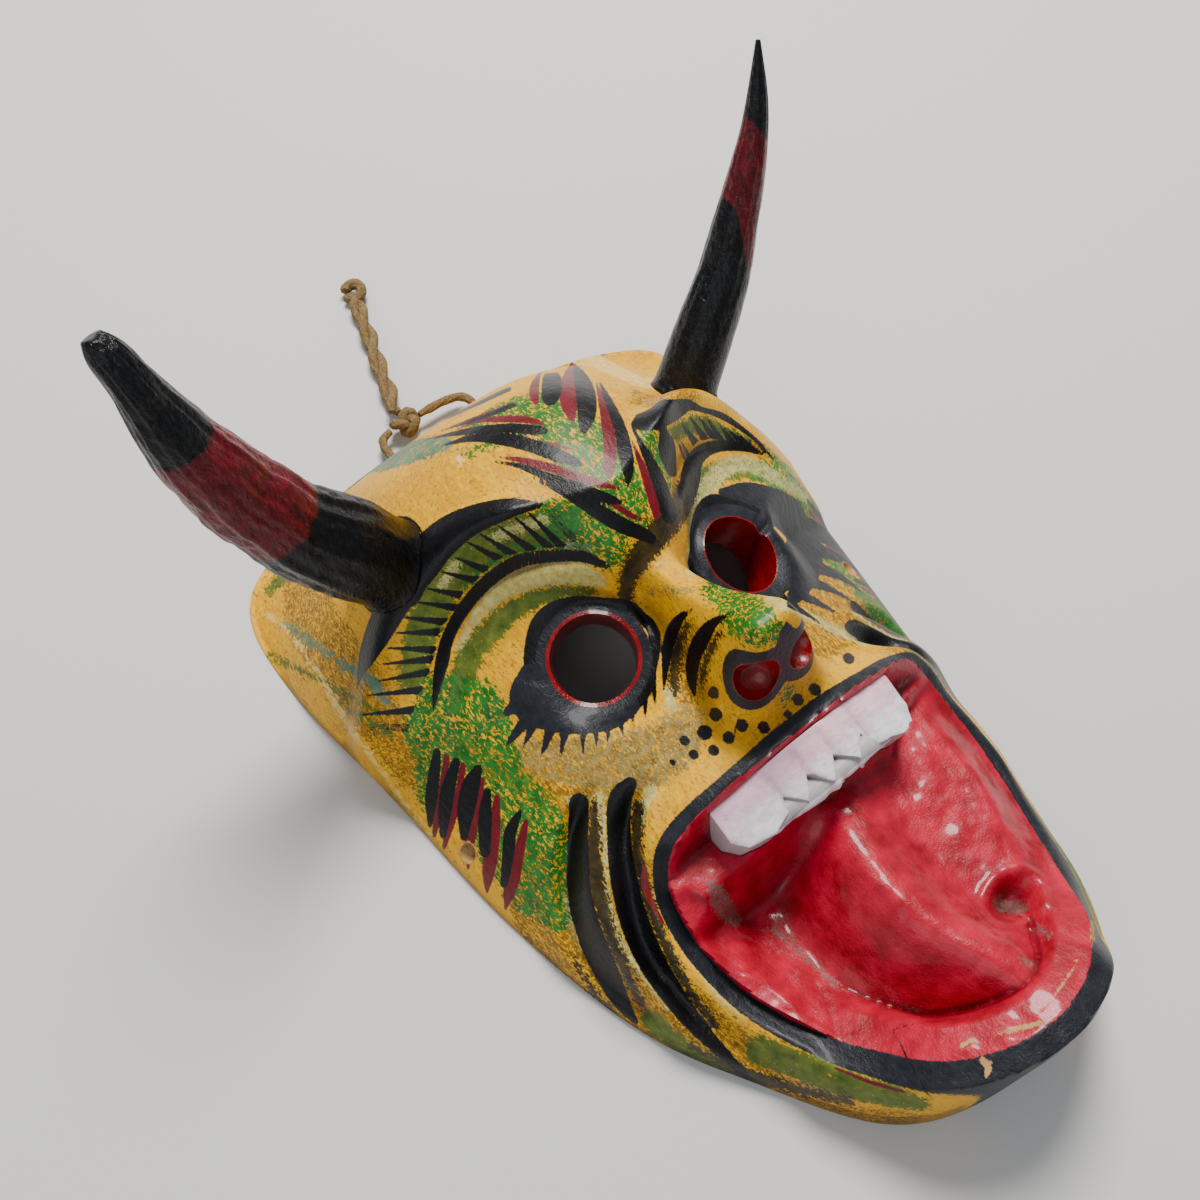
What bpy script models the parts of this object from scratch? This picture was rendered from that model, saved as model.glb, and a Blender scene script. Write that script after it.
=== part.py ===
"""Devil face mask carved from one block of wood, lying on its flat back rim.

X runs to the viewer's right, Y from the chin to the forehead and Z out of the face.
The rim lies in the plane Z = 0. The shape is worked out in millimetres and stored in metres.
"""
import bpy
import bmesh
import numpy as np
from mathutils import Vector, Matrix

MM = 0.001
MIDDLE = (-2.09, 18.54)        # mm, the place in the face's own plan that stands over the origin
GAP = 0.3                   # mm between pieces that touch
RIM_WALL = 13.0             # mm, width of the flat rim
FACE_GRID = (46, 64)        # cells of the carved front, across and along
BACK_GRID = (16, 22)        # cells of the hollow
EYE = (32.0, 31.5)          # mm, centre of the eye's ring
EYE_RING = 16.7             # mm, radius of the ring around the eye hole
EYE_HOLE = 14.3             # mm, radius of the hole at the face
EYE_LEAN = (0.265, -0.265)  # the hole's axis leans outward and toward the chin
TIE_HOLE = ((-91.7, 18.6), (83.5, 18.6))
TIE_HOLE_RADIUS = 3.2
TIE_HOLE_HEIGHT = 9.6
ROPE_HOLES = (-22.0, 20.0)  # mm, two holes through the crown's edge for the hanging rope
ROPE_HOLE_RADIUS = 2.6
STRAND = 3.8                # mm, thickness of one strand of the rope
TWIST = 7.2                 # mm, thickness of the two strands twisted together
NOSTRIL = (9.3, -17.0, 82.0)

# the rim's outline: half widths at stations along the face, and the crown and the chin
LEFT = [(-126, -46), (-93, -68.5), (-58, -86.5), (-7, -98), (55, -103.5), (110, -109), (149, -104.5)]
CROWN = [(-83, 167), (-46, 176), (0, 180), (48, 177), (84, 167)]
RIGHT = [(148, 103), (100, 103.5), (45, 94), (-8, 83.5), (-55, 73.5), (-100, 60.5), (-128, 48)]
CHIN = [(14, -142), (-19, -140)]
# the inner edge of the open mouth's lip, one half of it: x, y, z
LIP_HALF = [(0, -29.5, 58), (28, -29.5, 57), (49, -30, 47), (57, -36, 33), (59.5, -48, 24), (59, -62, 20),
            (56, -77, 18.5), (50, -93, 21), (42, -108, 28), (32, -123, 39), (17, -132, 46)]
# the terraces above each eye, by the angle about the eye from the forehead toward the temple:
# the gold ridge, the groove above it and the foot of the brow, as radius and height
TERRACE_ANGLE = [-110, -76, -54, -15, 3, 14, 26, 38, 51, 62, 80]
RIDGE_RADIUS = [19, 19.5, 19.7, 24.3, 29.5, 34, 39.5, 44, 46.3, 49, 54]
RIDGE_HEIGHT = [50, 58, 68, 68, 65, 62, 56, 48, 41, 35.5, 28]
GROOVE_RADIUS = [21.5, 21.5, 21.8, 27.7, 34, 38, 42.5, 47, 50.3, 53.7, 59]
GROOVE_HEIGHT = [53, 64, 74, 72, 68, 65, 59, 51.5, 45.5, 38, 30]
BROW_RADIUS = [40, 36, 40, 38.9, 43, 50, 56, 62, 69, 76, 90]
BROW_HEIGHT = [66, 77, 88, 87, 86, 80, 71, 58, 45, 32, 15]
# two carved folds in each cheek, as (y, x) of their middles
FOLDS = (((-8, 49), (-20, 60), (-36, 70), (-53, 73), (-70, 71), (-86, 66.5), (-98, 62)),
         ((2, 62), (-9, 75), (-25, 85), (-44, 86), (-56, 83)))
# the right flank leans in more than the left: y, how far it reaches at the rim, and its lean
FLANK = [(-131, 50, -0.04), (-111, 59, 0.0), (-96, 63, 0.05), (-81, 67, 0.09), (-66, 72, 0.12), (-53, 74, 0.15),
         (-38, 76, 0.19), (-25, 81, 0.22), (-10, 83, 0.26), (8, 88, 0.30), (28, 92, 0.35), (41, 94, 0.38),
         (61, 97, 0.45), (72, 99, 0.48), (91, 103, 0.60), (116, 103, 0.60), (160, 99, 0.60)]
HOLLOW = [(-125, 0), (-90, 3), (-25, 5), (0, 20), (30, 32), (76, 56), (100, 57), (130, 42), (150, 25), (160, 17),
          (168, 11)]
# the horns: stations along the middle line of the right one, and each one's radii along its length
HORN_LINE = [(60.0, 94.8, 54), (65, 97, 60), (75, 101, 75), (82, 104, 84), (88, 107, 92), (93, 110, 103),
             (98, 113, 112), (101.5, 115, 122), (105, 117.5, 130), (107.6, 120, 139), (109.6, 123, 147.5)]
HORN_TIP = {"horn_left": [(111, 125.5, 155.5), (113, 133, 168)], "horn_right": [(111.3, 126.5, 158.5)]}
HORN_RADII = {"horn_left": [(0, 15.4), (0.12, 15.2), (0.28, 13.3), (0.38, 12.2), (0.5, 10.6), (0.62, 9.0),
                            (0.78, 7.2), (0.9, 5.3), (0.97, 3.6), (1, 2.0)],
              "horn_right": [(0, 11.4), (0.12, 11.2), (0.3, 10.0), (0.45, 8.6), (0.55, 7.5), (0.66, 6.3),
                             (0.76, 4.9), (0.86, 3.5), (0.94, 2.0), (1, 0.8)]}
# the upper teeth: x, y of the tip edge, z of the tip edge
TEETH = [(-37.5, -43, 46), (-34, -49, 45.5), (-26, -50.5, 48), (-18.5, -47, 50), (-16.8, -41, 52), (-11.5, -47, 50.5),
         (-6.6, -40.5, 53), (-1, -47, 51), (4.4, -40.5, 53), (10.5, -46.5, 50.5), (16.4, -40.5, 52), (18, -46, 50),
         (28, -49, 48), (34.5, -47, 46), (37.5, -41, 46)]
TWIST_ROUTE = [(-8.1, 192.9, 5.2), (-6.6, 198, 4.6), (-3.3, 205.5, 4.0), (1.3, 219.9, 3.8), (7.2, 236.5, 3.8),
               (11.2, 249, 3.8), (14.8, 258.9, 3.8)]
STRAND_ROUTE = [(-15.4, 185.9, 5.4), (-19.5, 184.6, 5.1), (-21.6, 181.5, 5.0), (-22, 176, 5.0), (-22, 168, 5.0),
                (-22, 162, 5.2), (-20.5, 157, 5.6), (-15, 154.6, 5.8), (-1, 154.6, 5.8), (13, 154.6, 5.8),
                (18.6, 157, 5.6), (20, 162, 5.2), (20, 168, 5.0), (20, 176, 5.0), (19.6, 180.6, 5.0),
                (17, 183.8, 5.2), (11, 185.0, 5.8), (4, 185.2, 6.2), (-1.2, 185.4, 6.0)]
KNOT = ((-8.3, 186.6, 5.9), (6.5, 5.6, 5.6))


def smooth(a, b, x):
    t = np.clip((x - a) / (b - a), 0.0, 1.0)
    return t * t * (3.0 - 2.0 * t)


def bell(x, width):
    return np.exp(-(x / width) ** 2)


def through(stations, x):
    "a smooth curve through (x, value) stations"
    s = np.array(stations, float)
    xs, ys = s[:, 0], s[:, 1]
    m = np.gradient(ys, xs)
    x = np.clip(x, xs[0], xs[-1])
    i = np.clip(np.searchsorted(xs, x) - 1, 0, len(xs) - 2)
    h = xs[i + 1] - xs[i]
    t = (x - xs[i]) / h
    return ((2 * t ** 3 - 3 * t ** 2 + 1) * ys[i] + (t ** 3 - 2 * t ** 2 + t) * h * m[i]
            + (-2 * t ** 3 + 3 * t ** 2) * ys[i + 1] + (t ** 3 - t ** 2) * h * m[i + 1])


def spline(points, count, closed=False):
    "evenly spaced points on a smooth curve through the given ones"
    p = np.array(points, float)
    t = np.linspace(0, 1, 24, endpoint=False)[:, None]
    n = len(p)
    out = []
    for i in range(n if closed else n - 1):
        b, c = p[i], p[(i + 1) % n]
        a = p[i - 1] if closed or i > 0 else 2 * b - c
        d = p[(i + 2) % n] if closed or i < n - 2 else 2 * c - b
        out.append(0.5 * (2 * b + (c - a) * t + (2 * a - 5 * b + 4 * c - d) * t ** 2
                          + (3 * b - a - 3 * c + d) * t ** 3))
    q = np.vstack(out + [p[:1] if closed else p[-1:]])
    s = np.concatenate([[0], np.cumsum(np.linalg.norm(np.diff(q, axis=0), axis=1))])
    at = np.linspace(0, s[-1], count, endpoint=not closed)
    return np.stack([np.interp(at, s, q[:, j]) for j in range(q.shape[1])], 1)


RIM = spline([(x, y) for y, x in LEFT] + CROWN + [(x, y) for y, x in RIGHT] + CHIN, 720, True)
LIP = spline([(-x, y, z) for x, y, z in LIP_HALF[::-1]] + LIP_HALF[1:] + [(0, -135, 49)], 480, True)


UPPER = RIM[RIM[:, 1] > 100]
UPPER = UPPER[np.argsort(UPPER[:, 0])]


def around(curve, cx, cy, x, y, column=None):
    "the curve's distance from (cx, cy) toward (x, y), or the value in one of its columns there"
    a = np.arctan2(curve[:, 1] - cy, curve[:, 0] - cx)
    o = np.argsort(a)
    v = np.hypot(curve[:, 0] - cx, curve[:, 1] - cy) if column is None else curve[:, column]
    return np.interp(np.arctan2(y - cy, x - cx), a[o], v[o], period=2 * np.pi)


def lip_distance(x, y):
    "distance from the lip's inner edge, positive inside the mouth"
    d2 = np.full(x.shape, 1e9)
    for px, py, _ in LIP:
        d2 = np.minimum(d2, (x - px) ** 2 + (y - py) ** 2)
    inside = np.hypot(x, y + 75.0) < around(LIP, 0.0, -75.0, x, y)
    return np.where(inside, 1, -1) * np.sqrt(d2)


def eye_terraces(x, y, base):
    "the ring about the eye, the gold ridge, the groove and the step up to the brow"
    dx, dy = np.sqrt(x * x + 25.0) - EYE[0], y - EYE[1]
    r, angle = np.hypot(dx, dy), np.degrees(np.arctan2(dx, dy))
    rg, zg, rk, zk, rb, zb = (through(list(zip(TERRACE_ANGLE, c)), angle) for c in
                              (RIDGE_RADIUS, RIDGE_HEIGHT, GROOVE_RADIUS, GROOVE_HEIGHT, BROW_RADIUS, BROW_HEIGHT))
    z = base(smooth(0, 1, (r - rk) / (rb - rk)) * (1 - smooth(85, 120, np.abs(angle))))
    ring = 52 - 6.5 * np.cos(np.radians(angle - 135))
    step = ring + (zg - ring) * np.clip((r - EYE_RING) / (rg - EYE_RING), 0, 1) ** 1.3
    step = np.where(r > rg, zg + (zk - zg) * np.clip((r - rg) / (rk - rg), 0, 1), step)
    step = np.where(r > rk, zk + (zb - zk) * np.clip((r - rk) / (rb - rk), 0, 1) ** 0.8, step)
    step = step - 2.0 * bell(r - rk, 2.4) + 1.5 * bell(r - rg, 2.4)
    w = smooth(-125, -85, angle) * (1 - smooth(60, 84, angle)) * (1 - smooth(0, 16, r - rb))
    z = z + (step - z) * w
    return ring + (z - ring) * np.maximum(w, smooth(EYE_RING - 1, 30, r))


def folds(x, y):
    "the carved folds of both cheeks, as heights added to the surface"
    out = 0
    for fold in FOLDS:
        line = fold[::-1]
        middle = through(line, y)
        slope = np.abs(through(line, y + 1) - through(line, y - 1)) / 2
        d = (np.abs(x) - middle) / np.sqrt(1 + slope ** 2)
        on = smooth(line[-1][0] + 2, line[-1][0] - 5, y) * smooth(line[0][0] - 14, line[0][0], y)
        out = out + on * (1.5 * bell(d - 7, 3.0) + 1.5 * bell(d + 7, 3.0) - 5.0 * bell(d, 3.6))
    return out


def mouth(x, y, d, lip):
    "the open mouth: an inner band along the lip, a deep floor and the tongue that lies on it"
    floor = through([(-60, 24), (-35, 12), (-22, 12), (10, 26), (30, 24), (60, 22)], x + 0.35 * (y + 60))
    floor = floor + (np.maximum(floor, 34) - floor) * smooth(-56, -44, y)
    under = 1 - smooth(-36, -60, y)
    band = lip - 0.35 * np.clip(d, 0, 12)
    drop = smooth(9, 20, d) * (1 - under) + smooth(0.5, 5, d) * under
    z = band + (np.minimum(floor, band) - band) * drop
    line = through([(-135, 6), (-113, 0), (-98, -5), (-82, -7), (-66, -5), (-50, 2), (-30, 4)], y)
    crest = through([(-135, 42), (-113, 43), (-98, 42), (-82, 41), (-66, 39), (-50, 35), (-36, 34)], y)
    tongue = np.where(x < line, floor + (crest - floor) * smooth(27, 0, line - x),
                      30 + (crest - 30) * smooth(22, 0, x - line))
    lifted = z + (np.maximum(tongue, z) - z) * smooth(-2, 14, d)
    z = np.where(x >= line, lifted, np.maximum(z, np.minimum(tongue, lip + 4)))
    pit = np.hypot((x - 23.5) / 7.0, (y + 105) / 4.5)
    return z - 6.0 * (1 - smooth(0.2, 1.2, pit))


def face(x, y):
    "height of the carved front over the rim's plane"
    x, y = np.asarray(x, float), np.asarray(y, float)
    width = np.where(x < 0, -through(LEFT, y), through(RIGHT[::-1], y))
    t = np.clip(np.abs(x) / width, 0, 1)
    right = smooth(0, 30, x)
    side = (1 - t ** (1.9 - 0.35 * right)) ** (0.76 + 0.12 * right)
    low = through([(-60, 52), (-28, 57), (0, 59), (32, 58), (55, 62), (80, 66), (110, 60), (180, 30)], y)
    crown = np.interp(x, UPPER[:, 0], UPPER[:, 1])
    yy = np.where(y > 60, 60 + (y - 60) * 120 / np.maximum(crown - 60, 20), y)
    up = through([(0, 76), (43, 84), (60, 89), (80, 90), (97, 88), (117, 78), (137, 61), (150, 46), (162, 29),
                  (172, 13), (180, 0), (190, 0)], yy)
    corner = 1 - 0.30 * smooth(45, 95, np.abs(x)) * smooth(105, 160, y)
    z = eye_terraces(x, y, lambda b: side * (low * (1 - b) + up * b) * corner)
    # the nose: a rising bridge, a blunt snout and a steep front with the nostrils
    crest = through([(-32, 40), (-27, 55), (-23.5, 66), (-20, 78), (-16, 92), (-12.5, 98.5), (-8, 99.5), (0, 93),
                     (10, 84), (25, 75), (34, 72), (50, 60), (60, 50)], y)
    wide = through([(-30, 30), (-24, 29), (-12, 27), (0, 23), (12, 18), (25, 15), (50, 14)], y)
    nose = crest - (crest - 45) * smooth(0.2, 1.0, np.abs(x) / wide) - 90 * smooth(0.9, 1.6, np.abs(x) / wide)
    nose = np.where((y > -32) & (y < 58), nose, -60)
    z = np.logaddexp(z / 3.0, nose / 3.0) * 3.0
    # the jaw: a lip around the mouth, level on top, and a wall from it down to the rim
    lip = around(LIP, 0.0, -62.0, x, y, 2)
    inner = around(LIP, 0.0, -62.0, x, y) + 6.5
    s = np.clip((np.hypot(x, y + 62.0) - inner) / (around(RIM, 0.0, -62.0, x, y) - inner), 0, 1)
    jaw = smooth(-12, -38, y)
    z = z * (1 - jaw) + lip * (1 - s ** 2.4) ** 0.7 * jaw
    z = z + folds(x, y) * np.clip(z / 12, 0, 1)
    reach = through([(a, b) for a, b, c in FLANK], y + through([(a, c) for a, b, c in FLANK], y) * np.clip(z, 0, 70))
    cap = np.minimum(5 + (reach - x) / 0.65 + 60 * smooth(20, -20, x),
                     np.where(y > 60, 1.35 * (crown - y) + 2, 900))
    z = -np.logaddexp(-z / 2.5, -np.maximum(cap, 0) / 2.5) * 2.5
    d = lip_distance(x, y)
    return np.where(d > 0, mouth(x, y, d, lip), z)


def hollow(x, y, t):
    "height of the hollow back; t is 0 in its middle and 1 at its edge"
    return through(HOLLOW, y) * (1 - np.clip(t, 0, 1) ** 2.2) ** 0.8


def outline_patch(outline, u, v):
    "spreads the square (u, v) over the outline, with its sides as the square's sides"
    n = len(outline)
    corner = [int(np.argmin(np.hypot(outline[:, 0] - x * 1.0, outline[:, 1] - y))) for x, y in
              ((-48, -122), (56, -104), (101, 156), (-99, 157))]

    def along(i, j, s):
        k = (corner[j] - corner[i]) % n
        back = k > n / 2
        k = k - n if back else k
        at = corner[i] + k * s
        lo = np.floor(at).astype(int)
        f = (at - lo)[..., None]
        return outline[lo % n] * (1 - f) + outline[(lo + 1) % n] * f

    u, v = (u + 1) / 2, (v + 1) / 2
    low, high = along(0, 1, u), along(3, 2, u)
    left, right = along(0, 3, v), along(1, 2, v)
    c = [outline[k] for k in corner]
    u, v = u[..., None], v[..., None]
    return (low * (1 - v) + high * v + left * (1 - u) + right * u
            - (c[0] * (1 - u) * (1 - v) + c[1] * u * (1 - v) + c[2] * u * v + c[3] * (1 - u) * v))


def denser_at_edges(s, amount):
    return s * (1 - amount) + np.sin(s * np.pi / 2) * amount


def domed_block(name, cells, outline, height, least, depth, amount):
    "a grid spread over the outline and raised to the height, closed by a flat underside"
    bpy.ops.mesh.primitive_grid_add(x_subdivisions=cells[0], y_subdivisions=cells[1], size=2)
    block = bpy.context.object
    block.name = block.data.name = name
    mesh = block.data
    co = np.empty(len(mesh.vertices) * 3)
    mesh.vertices.foreach_get("co", co)
    co = co.reshape(-1, 3)
    u, v = denser_at_edges(co[:, 0], amount), denser_at_edges(co[:, 1], amount)
    at = outline_patch(outline, u, v)
    on_edge = np.maximum(np.abs(co[:, 0]), np.abs(co[:, 1])) > 0.9999
    z = np.where(on_edge, 0.0, np.maximum(height(at[:, 0], at[:, 1], u, v), least))
    co[:, :2], co[:, 2] = at, z
    mesh.vertices.foreach_set("co", to_metres(co).ravel())
    bm = bmesh.new()
    bm.from_mesh(mesh)
    loop = [e for e in bm.edges if e.is_boundary]
    if depth:
        new = bmesh.ops.extrude_edge_only(bm, edges=loop)["geom"]
        verts = [g for g in new if isinstance(g, bmesh.types.BMVert)]
        bmesh.ops.translate(bm, verts=verts, vec=(0, 0, -depth * MM))
        loop = [e for e in bm.edges if e.is_boundary]
    bmesh.ops.contextual_create(bm, geom=loop)
    bmesh.ops.recalc_face_normals(bm, faces=bm.faces)
    bm.to_mesh(mesh)
    bm.free()
    return block


def to_metres(points):
    p = np.array(points, float)
    return (p - [MIDDLE[0], MIDDLE[1], 0.0]) * MM


def put(obj, collection):
    for c in list(obj.users_collection):
        c.objects.unlink(obj)
    collection.objects.link(obj)
    return obj


def material(name, color, roughness, metallic=0.0):
    mat = bpy.data.materials.new(name)
    mat.use_nodes = True
    bsdf = mat.node_tree.nodes["Principled BSDF"]
    bsdf.inputs["Base Color"].default_value = (*color, 1.0)
    bsdf.inputs["Roughness"].default_value = roughness
    bsdf.inputs["Metallic"].default_value = metallic
    return mat


def finish(obj, mat, angle=0.7):
    obj.data.materials.clear()
    obj.data.materials.append(mat)
    obj.data.shade_smooth()
    obj.data.set_sharp_from_angle(angle=angle)
    return put(obj, parts)


def as_cutter(obj):
    obj.hide_render = True
    obj.display_type = "WIRE"
    return put(obj, cutters)


def cut(obj, cutter):
    mod = obj.modifiers.new(cutter.name, "BOOLEAN")
    mod.operation = "DIFFERENCE"
    mod.solver = "EXACT"
    mod.object = cutter


def rod(name, start, end, r_start, r_end, sides=24):
    "a cone or cylinder from one point to another, millimetres"
    a, b = Vector(to_metres(start)), Vector(to_metres(end))
    bpy.ops.mesh.primitive_cone_add(vertices=sides, radius1=r_start * MM, radius2=r_end * MM,
                                    depth=(b - a).length, end_fill_type="NGON")
    obj = bpy.context.object
    obj.name = obj.data.name = name
    turn = Vector((0, 0, 1)).rotation_difference((b - a).normalized()).to_matrix().to_4x4()
    obj.data.transform(Matrix.Translation((a + b) / 2) @ turn)
    return obj


def sweep(name, line, radii, sides):
    "rings of the given radii set square across a line of points and joined along it"
    bm = bmesh.new()
    pts = [Vector(p) for p in to_metres(line)]
    ring = bmesh.ops.create_circle(bm, cap_ends=True, segments=sides, radius=1.0)["verts"]
    place = []
    x_axis = None
    for i, p in enumerate(pts):
        ahead = (pts[min(i + 1, len(pts) - 1)] - pts[max(i - 1, 0)]).normalized()
        x_axis = (Vector((1, 0, 0)) if x_axis is None else x_axis)
        x_axis = (x_axis - ahead * x_axis.dot(ahead)).normalized()
        place.append((p, x_axis.copy(), ahead.cross(x_axis)))
    unit = [v.co.copy() for v in ring]

    def seat(verts, i):
        p, ax, ay = place[i]
        for v, c in zip(verts, unit):
            v.co = p + (ax * c.x + ay * c.y) * radii[i] * MM

    seat(ring, 0)
    face_ = ring[0].link_faces[0]
    edges = list(face_.edges)
    verts = ring
    for i in range(1, len(pts)):
        made = bmesh.ops.extrude_edge_only(bm, edges=edges)["geom"]
        old = verts
        edges = [g for g in made if isinstance(g, bmesh.types.BMEdge)
                 and all(v not in old for v in g.verts)]
        fresh = {v for e in edges for v in e.verts}
        verts = [next(e.other_vert(v) for e in v.link_edges if e.other_vert(v) in fresh) for v in old]
        seat(verts, i)
    bmesh.ops.contextual_create(bm, geom=edges)
    bmesh.ops.recalc_face_normals(bm, faces=bm.faces)
    mesh = bpy.data.meshes.new(name)
    bm.to_mesh(mesh)
    bm.free()
    obj = bpy.data.objects.new(name, mesh)
    bpy.context.scene.collection.objects.link(obj)
    return obj


def horn(name, grow=0.0, sides=16, rings=18):
    mirror = -1 if name == "horn_left" else 1
    line = spline([(x * mirror, y, z) for x, y, z in HORN_LINE + HORN_TIP[name]], rings)
    if grow:
        line[0] += (line[0] - line[1]) / np.linalg.norm(line[0] - line[1]) * grow
    radii = through(HORN_RADII[name], np.linspace(0, 1, rings)) + grow
    return sweep(name, line, radii, sides)


def teeth(name, grow=0.0):
    "a bar with a tooth-edged front, its section taken at stations across the mouth"
    bpy.ops.mesh.primitive_cube_add(size=2)
    obj = bpy.context.object
    obj.name = obj.data.name = name
    bm = bmesh.new()
    bm.from_mesh(obj.data)
    lengthwise = [e for e in bm.edges if abs(e.verts[0].co.x - e.verts[1].co.x) > 1]
    bmesh.ops.subdivide_edges(bm, edges=lengthwise, cuts=len(TEETH) - 2, use_grid_fill=True)
    levels = sorted({round(v.co.x, 4) for v in bm.verts})
    for v in bm.verts:
        i = levels.index(min(levels, key=lambda q: abs(q - v.co.x)))
        x, ty, tz = TEETH[i]
        front, top = v.co.y < 0, v.co.z > 0
        if i in (0, len(TEETH) - 1):
            x += grow * np.sign(x)
        root = 56.5 - 0.0042 * x * x
        if top:
            y, z = (ty - grow, tz + grow) if front else (-30.6 + grow, root + grow)
        else:
            y, z = (min(ty + 3.5, -38) - grow, 31.5 - grow) if front else (-30.6 + grow, 32.5 - grow)
        v.co = Vector(to_metres((x, y, z)))
    bmesh.ops.recalc_face_normals(bm, faces=bm.faces)
    bm.to_mesh(obj.data)
    bm.free()
    return obj


def tube(name, route, thickness, count):
    "a cord as a curve through its route with filled ends"
    curve = bpy.data.curves.new(name, "CURVE")
    curve.dimensions = "3D"
    curve.bevel_depth = thickness / 2 * MM
    curve.bevel_resolution = 2
    curve.use_fill_caps = True
    line = curve.splines.new("POLY")
    line.points.add(count - 1)
    for point, p in zip(line.points, to_metres(spline(route, count))):
        point.co = (*p, 1.0)
    obj = bpy.data.objects.new(name, curve)
    bpy.context.scene.collection.objects.link(obj)
    return obj


for old in list(bpy.data.objects):
    bpy.data.objects.remove(old, do_unlink=True)
parts = bpy.data.collections.new("diablo_mask")
cutters = bpy.data.collections.new("cutters")
bpy.context.scene.collection.children.link(parts)
bpy.context.scene.collection.children.link(cutters)

paint = material("painted_wood", (0.83, 0.52, 0.03), 0.45)
horn_paint = material("horn_paint", (0.02, 0.018, 0.018), 0.4)
tooth_paint = material("tooth_paint", (0.85, 0.80, 0.78), 0.5)
jute = material("jute", (0.36, 0.23, 0.10), 0.95)

# the body: the carved front as one closed block, then everything that is cut away
mask = finish(domed_block("mask_body", FACE_GRID, RIM, lambda x, y, u, v: face(x, y), 0.4, 0.0, 0.55), paint, 0.6)

centre = np.array([0.0, 10.0])
away = RIM - np.roll(RIM, 1, 0)
normal = np.stack([-away[:, 1], away[:, 0]], 1)
normal /= np.linalg.norm(normal, axis=1)[:, None]
inward = normal * np.sign(((centre - RIM) * normal).sum(1))[:, None]
inner_edge = RIM + inward * RIM_WALL


def hollow_at(x, y, u, v):
    return hollow(x, y, np.maximum(np.abs(u), 0)) * (1 - np.clip(np.abs(v), 0, 1) ** 16)


back = as_cutter(domed_block("hollow_back", BACK_GRID, inner_edge, hollow_at, 2.0, 8.0, 0.35))
cut(mask, back)
for side, label in ((-1, "left"), (1, "right")):
    lean = Vector((EYE_LEAN[0] * side, EYE_LEAN[1], 0.0))
    lean.z = (1 - lean.x ** 2 - lean.y ** 2) ** 0.5
    ring = Vector((EYE[0] * side, EYE[1], 52.0))
    cut(mask, as_cutter(rod("eye_hole_" + label, ring - lean * 50, ring + lean * 22,
                            EYE_HOLE - 2.2, EYE_HOLE + 1.0, 32)))
    bpy.ops.mesh.primitive_uv_sphere_add(segments=16, ring_count=10, radius=1.0)
    pit = bpy.context.object
    pit.name = pit.data.name = "nostril_" + label
    pit.data.transform(Matrix.Translation(Vector(to_metres((NOSTRIL[0] * side, NOSTRIL[1], NOSTRIL[2]))))
                       @ Matrix.Rotation(0.45, 4, "X") @ Matrix.Diagonal((6.6 * MM, 7.0 * MM, 8.2 * MM, 1.0)))
    cut(mask, as_cutter(pit))
    socket = horn("horn_" + label, grow=GAP)
    socket.name = socket.data.name = "horn_socket_" + label
    cut(mask, as_cutter(socket))
for (x, y), label in zip(TIE_HOLE, ("left", "right")):
    side = 1 if x > 0 else -1
    cut(mask, as_cutter(rod("tie_hole_" + label, (x - 26 * side, y, TIE_HOLE_HEIGHT), (x + 16 * side, y, TIE_HOLE_HEIGHT),
                            TIE_HOLE_RADIUS, TIE_HOLE_RADIUS, 16)))
for x, label in zip(ROPE_HOLES, ("left", "right")):
    cut(mask, as_cutter(rod("rope_hole_" + label, (x, 150, 5.0), (x, 190, 5.0),
                            ROPE_HOLE_RADIUS, ROPE_HOLE_RADIUS, 12)))
seat = teeth("upper_teeth", GAP)
seat.name = seat.data.name = "teeth_seat"
cut(mask, as_cutter(seat))

for name in ("horn_left", "horn_right"):
    finish(horn(name), horn_paint, 0.9)
finish(teeth("upper_teeth"), tooth_paint, 0.5)

rope = {"hanger_twist": tube("hanger_twist", TWIST_ROUTE, TWIST, 12),
        "hanger_loop": tube("hanger_loop", STRAND_ROUTE, STRAND, 24)}
for obj in rope.values():
    obj.data.materials.append(jute)
    put(obj, parts)
bpy.ops.mesh.primitive_uv_sphere_add(segments=12, ring_count=8, radius=1.0)
knot = bpy.context.object
knot.name = knot.data.name = "hanger_knot"
knot.data.transform(Matrix.Translation(Vector(to_metres(KNOT[0])))
                    @ Matrix.Diagonal((*(r * MM for r in KNOT[1]), 1.0)))
finish(knot, jute, 3.2)
bpy.ops.mesh.primitive_torus_add(major_segments=16, minor_segments=8, major_radius=4.5 * MM, minor_radius=2.3 * MM)
eye = bpy.context.object
eye.name = eye.data.name = "hanger_eye"
eye.data.transform(Matrix.Translation(Vector(to_metres((17.5, 266.0, 3.4)))))
finish(eye, jute, 3.2)
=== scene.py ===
"""The carved devil mask as it lies: painted wood, two lacquered horns, a row of teeth and a jute hanger.

Shapes are worked out in millimetres in the mask's own plan, as the carver would mark them, and stored in
metres.
"""
import math
from contextlib import contextmanager
import bpy
import numpy as np
from mathutils import Matrix, Vector


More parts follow.
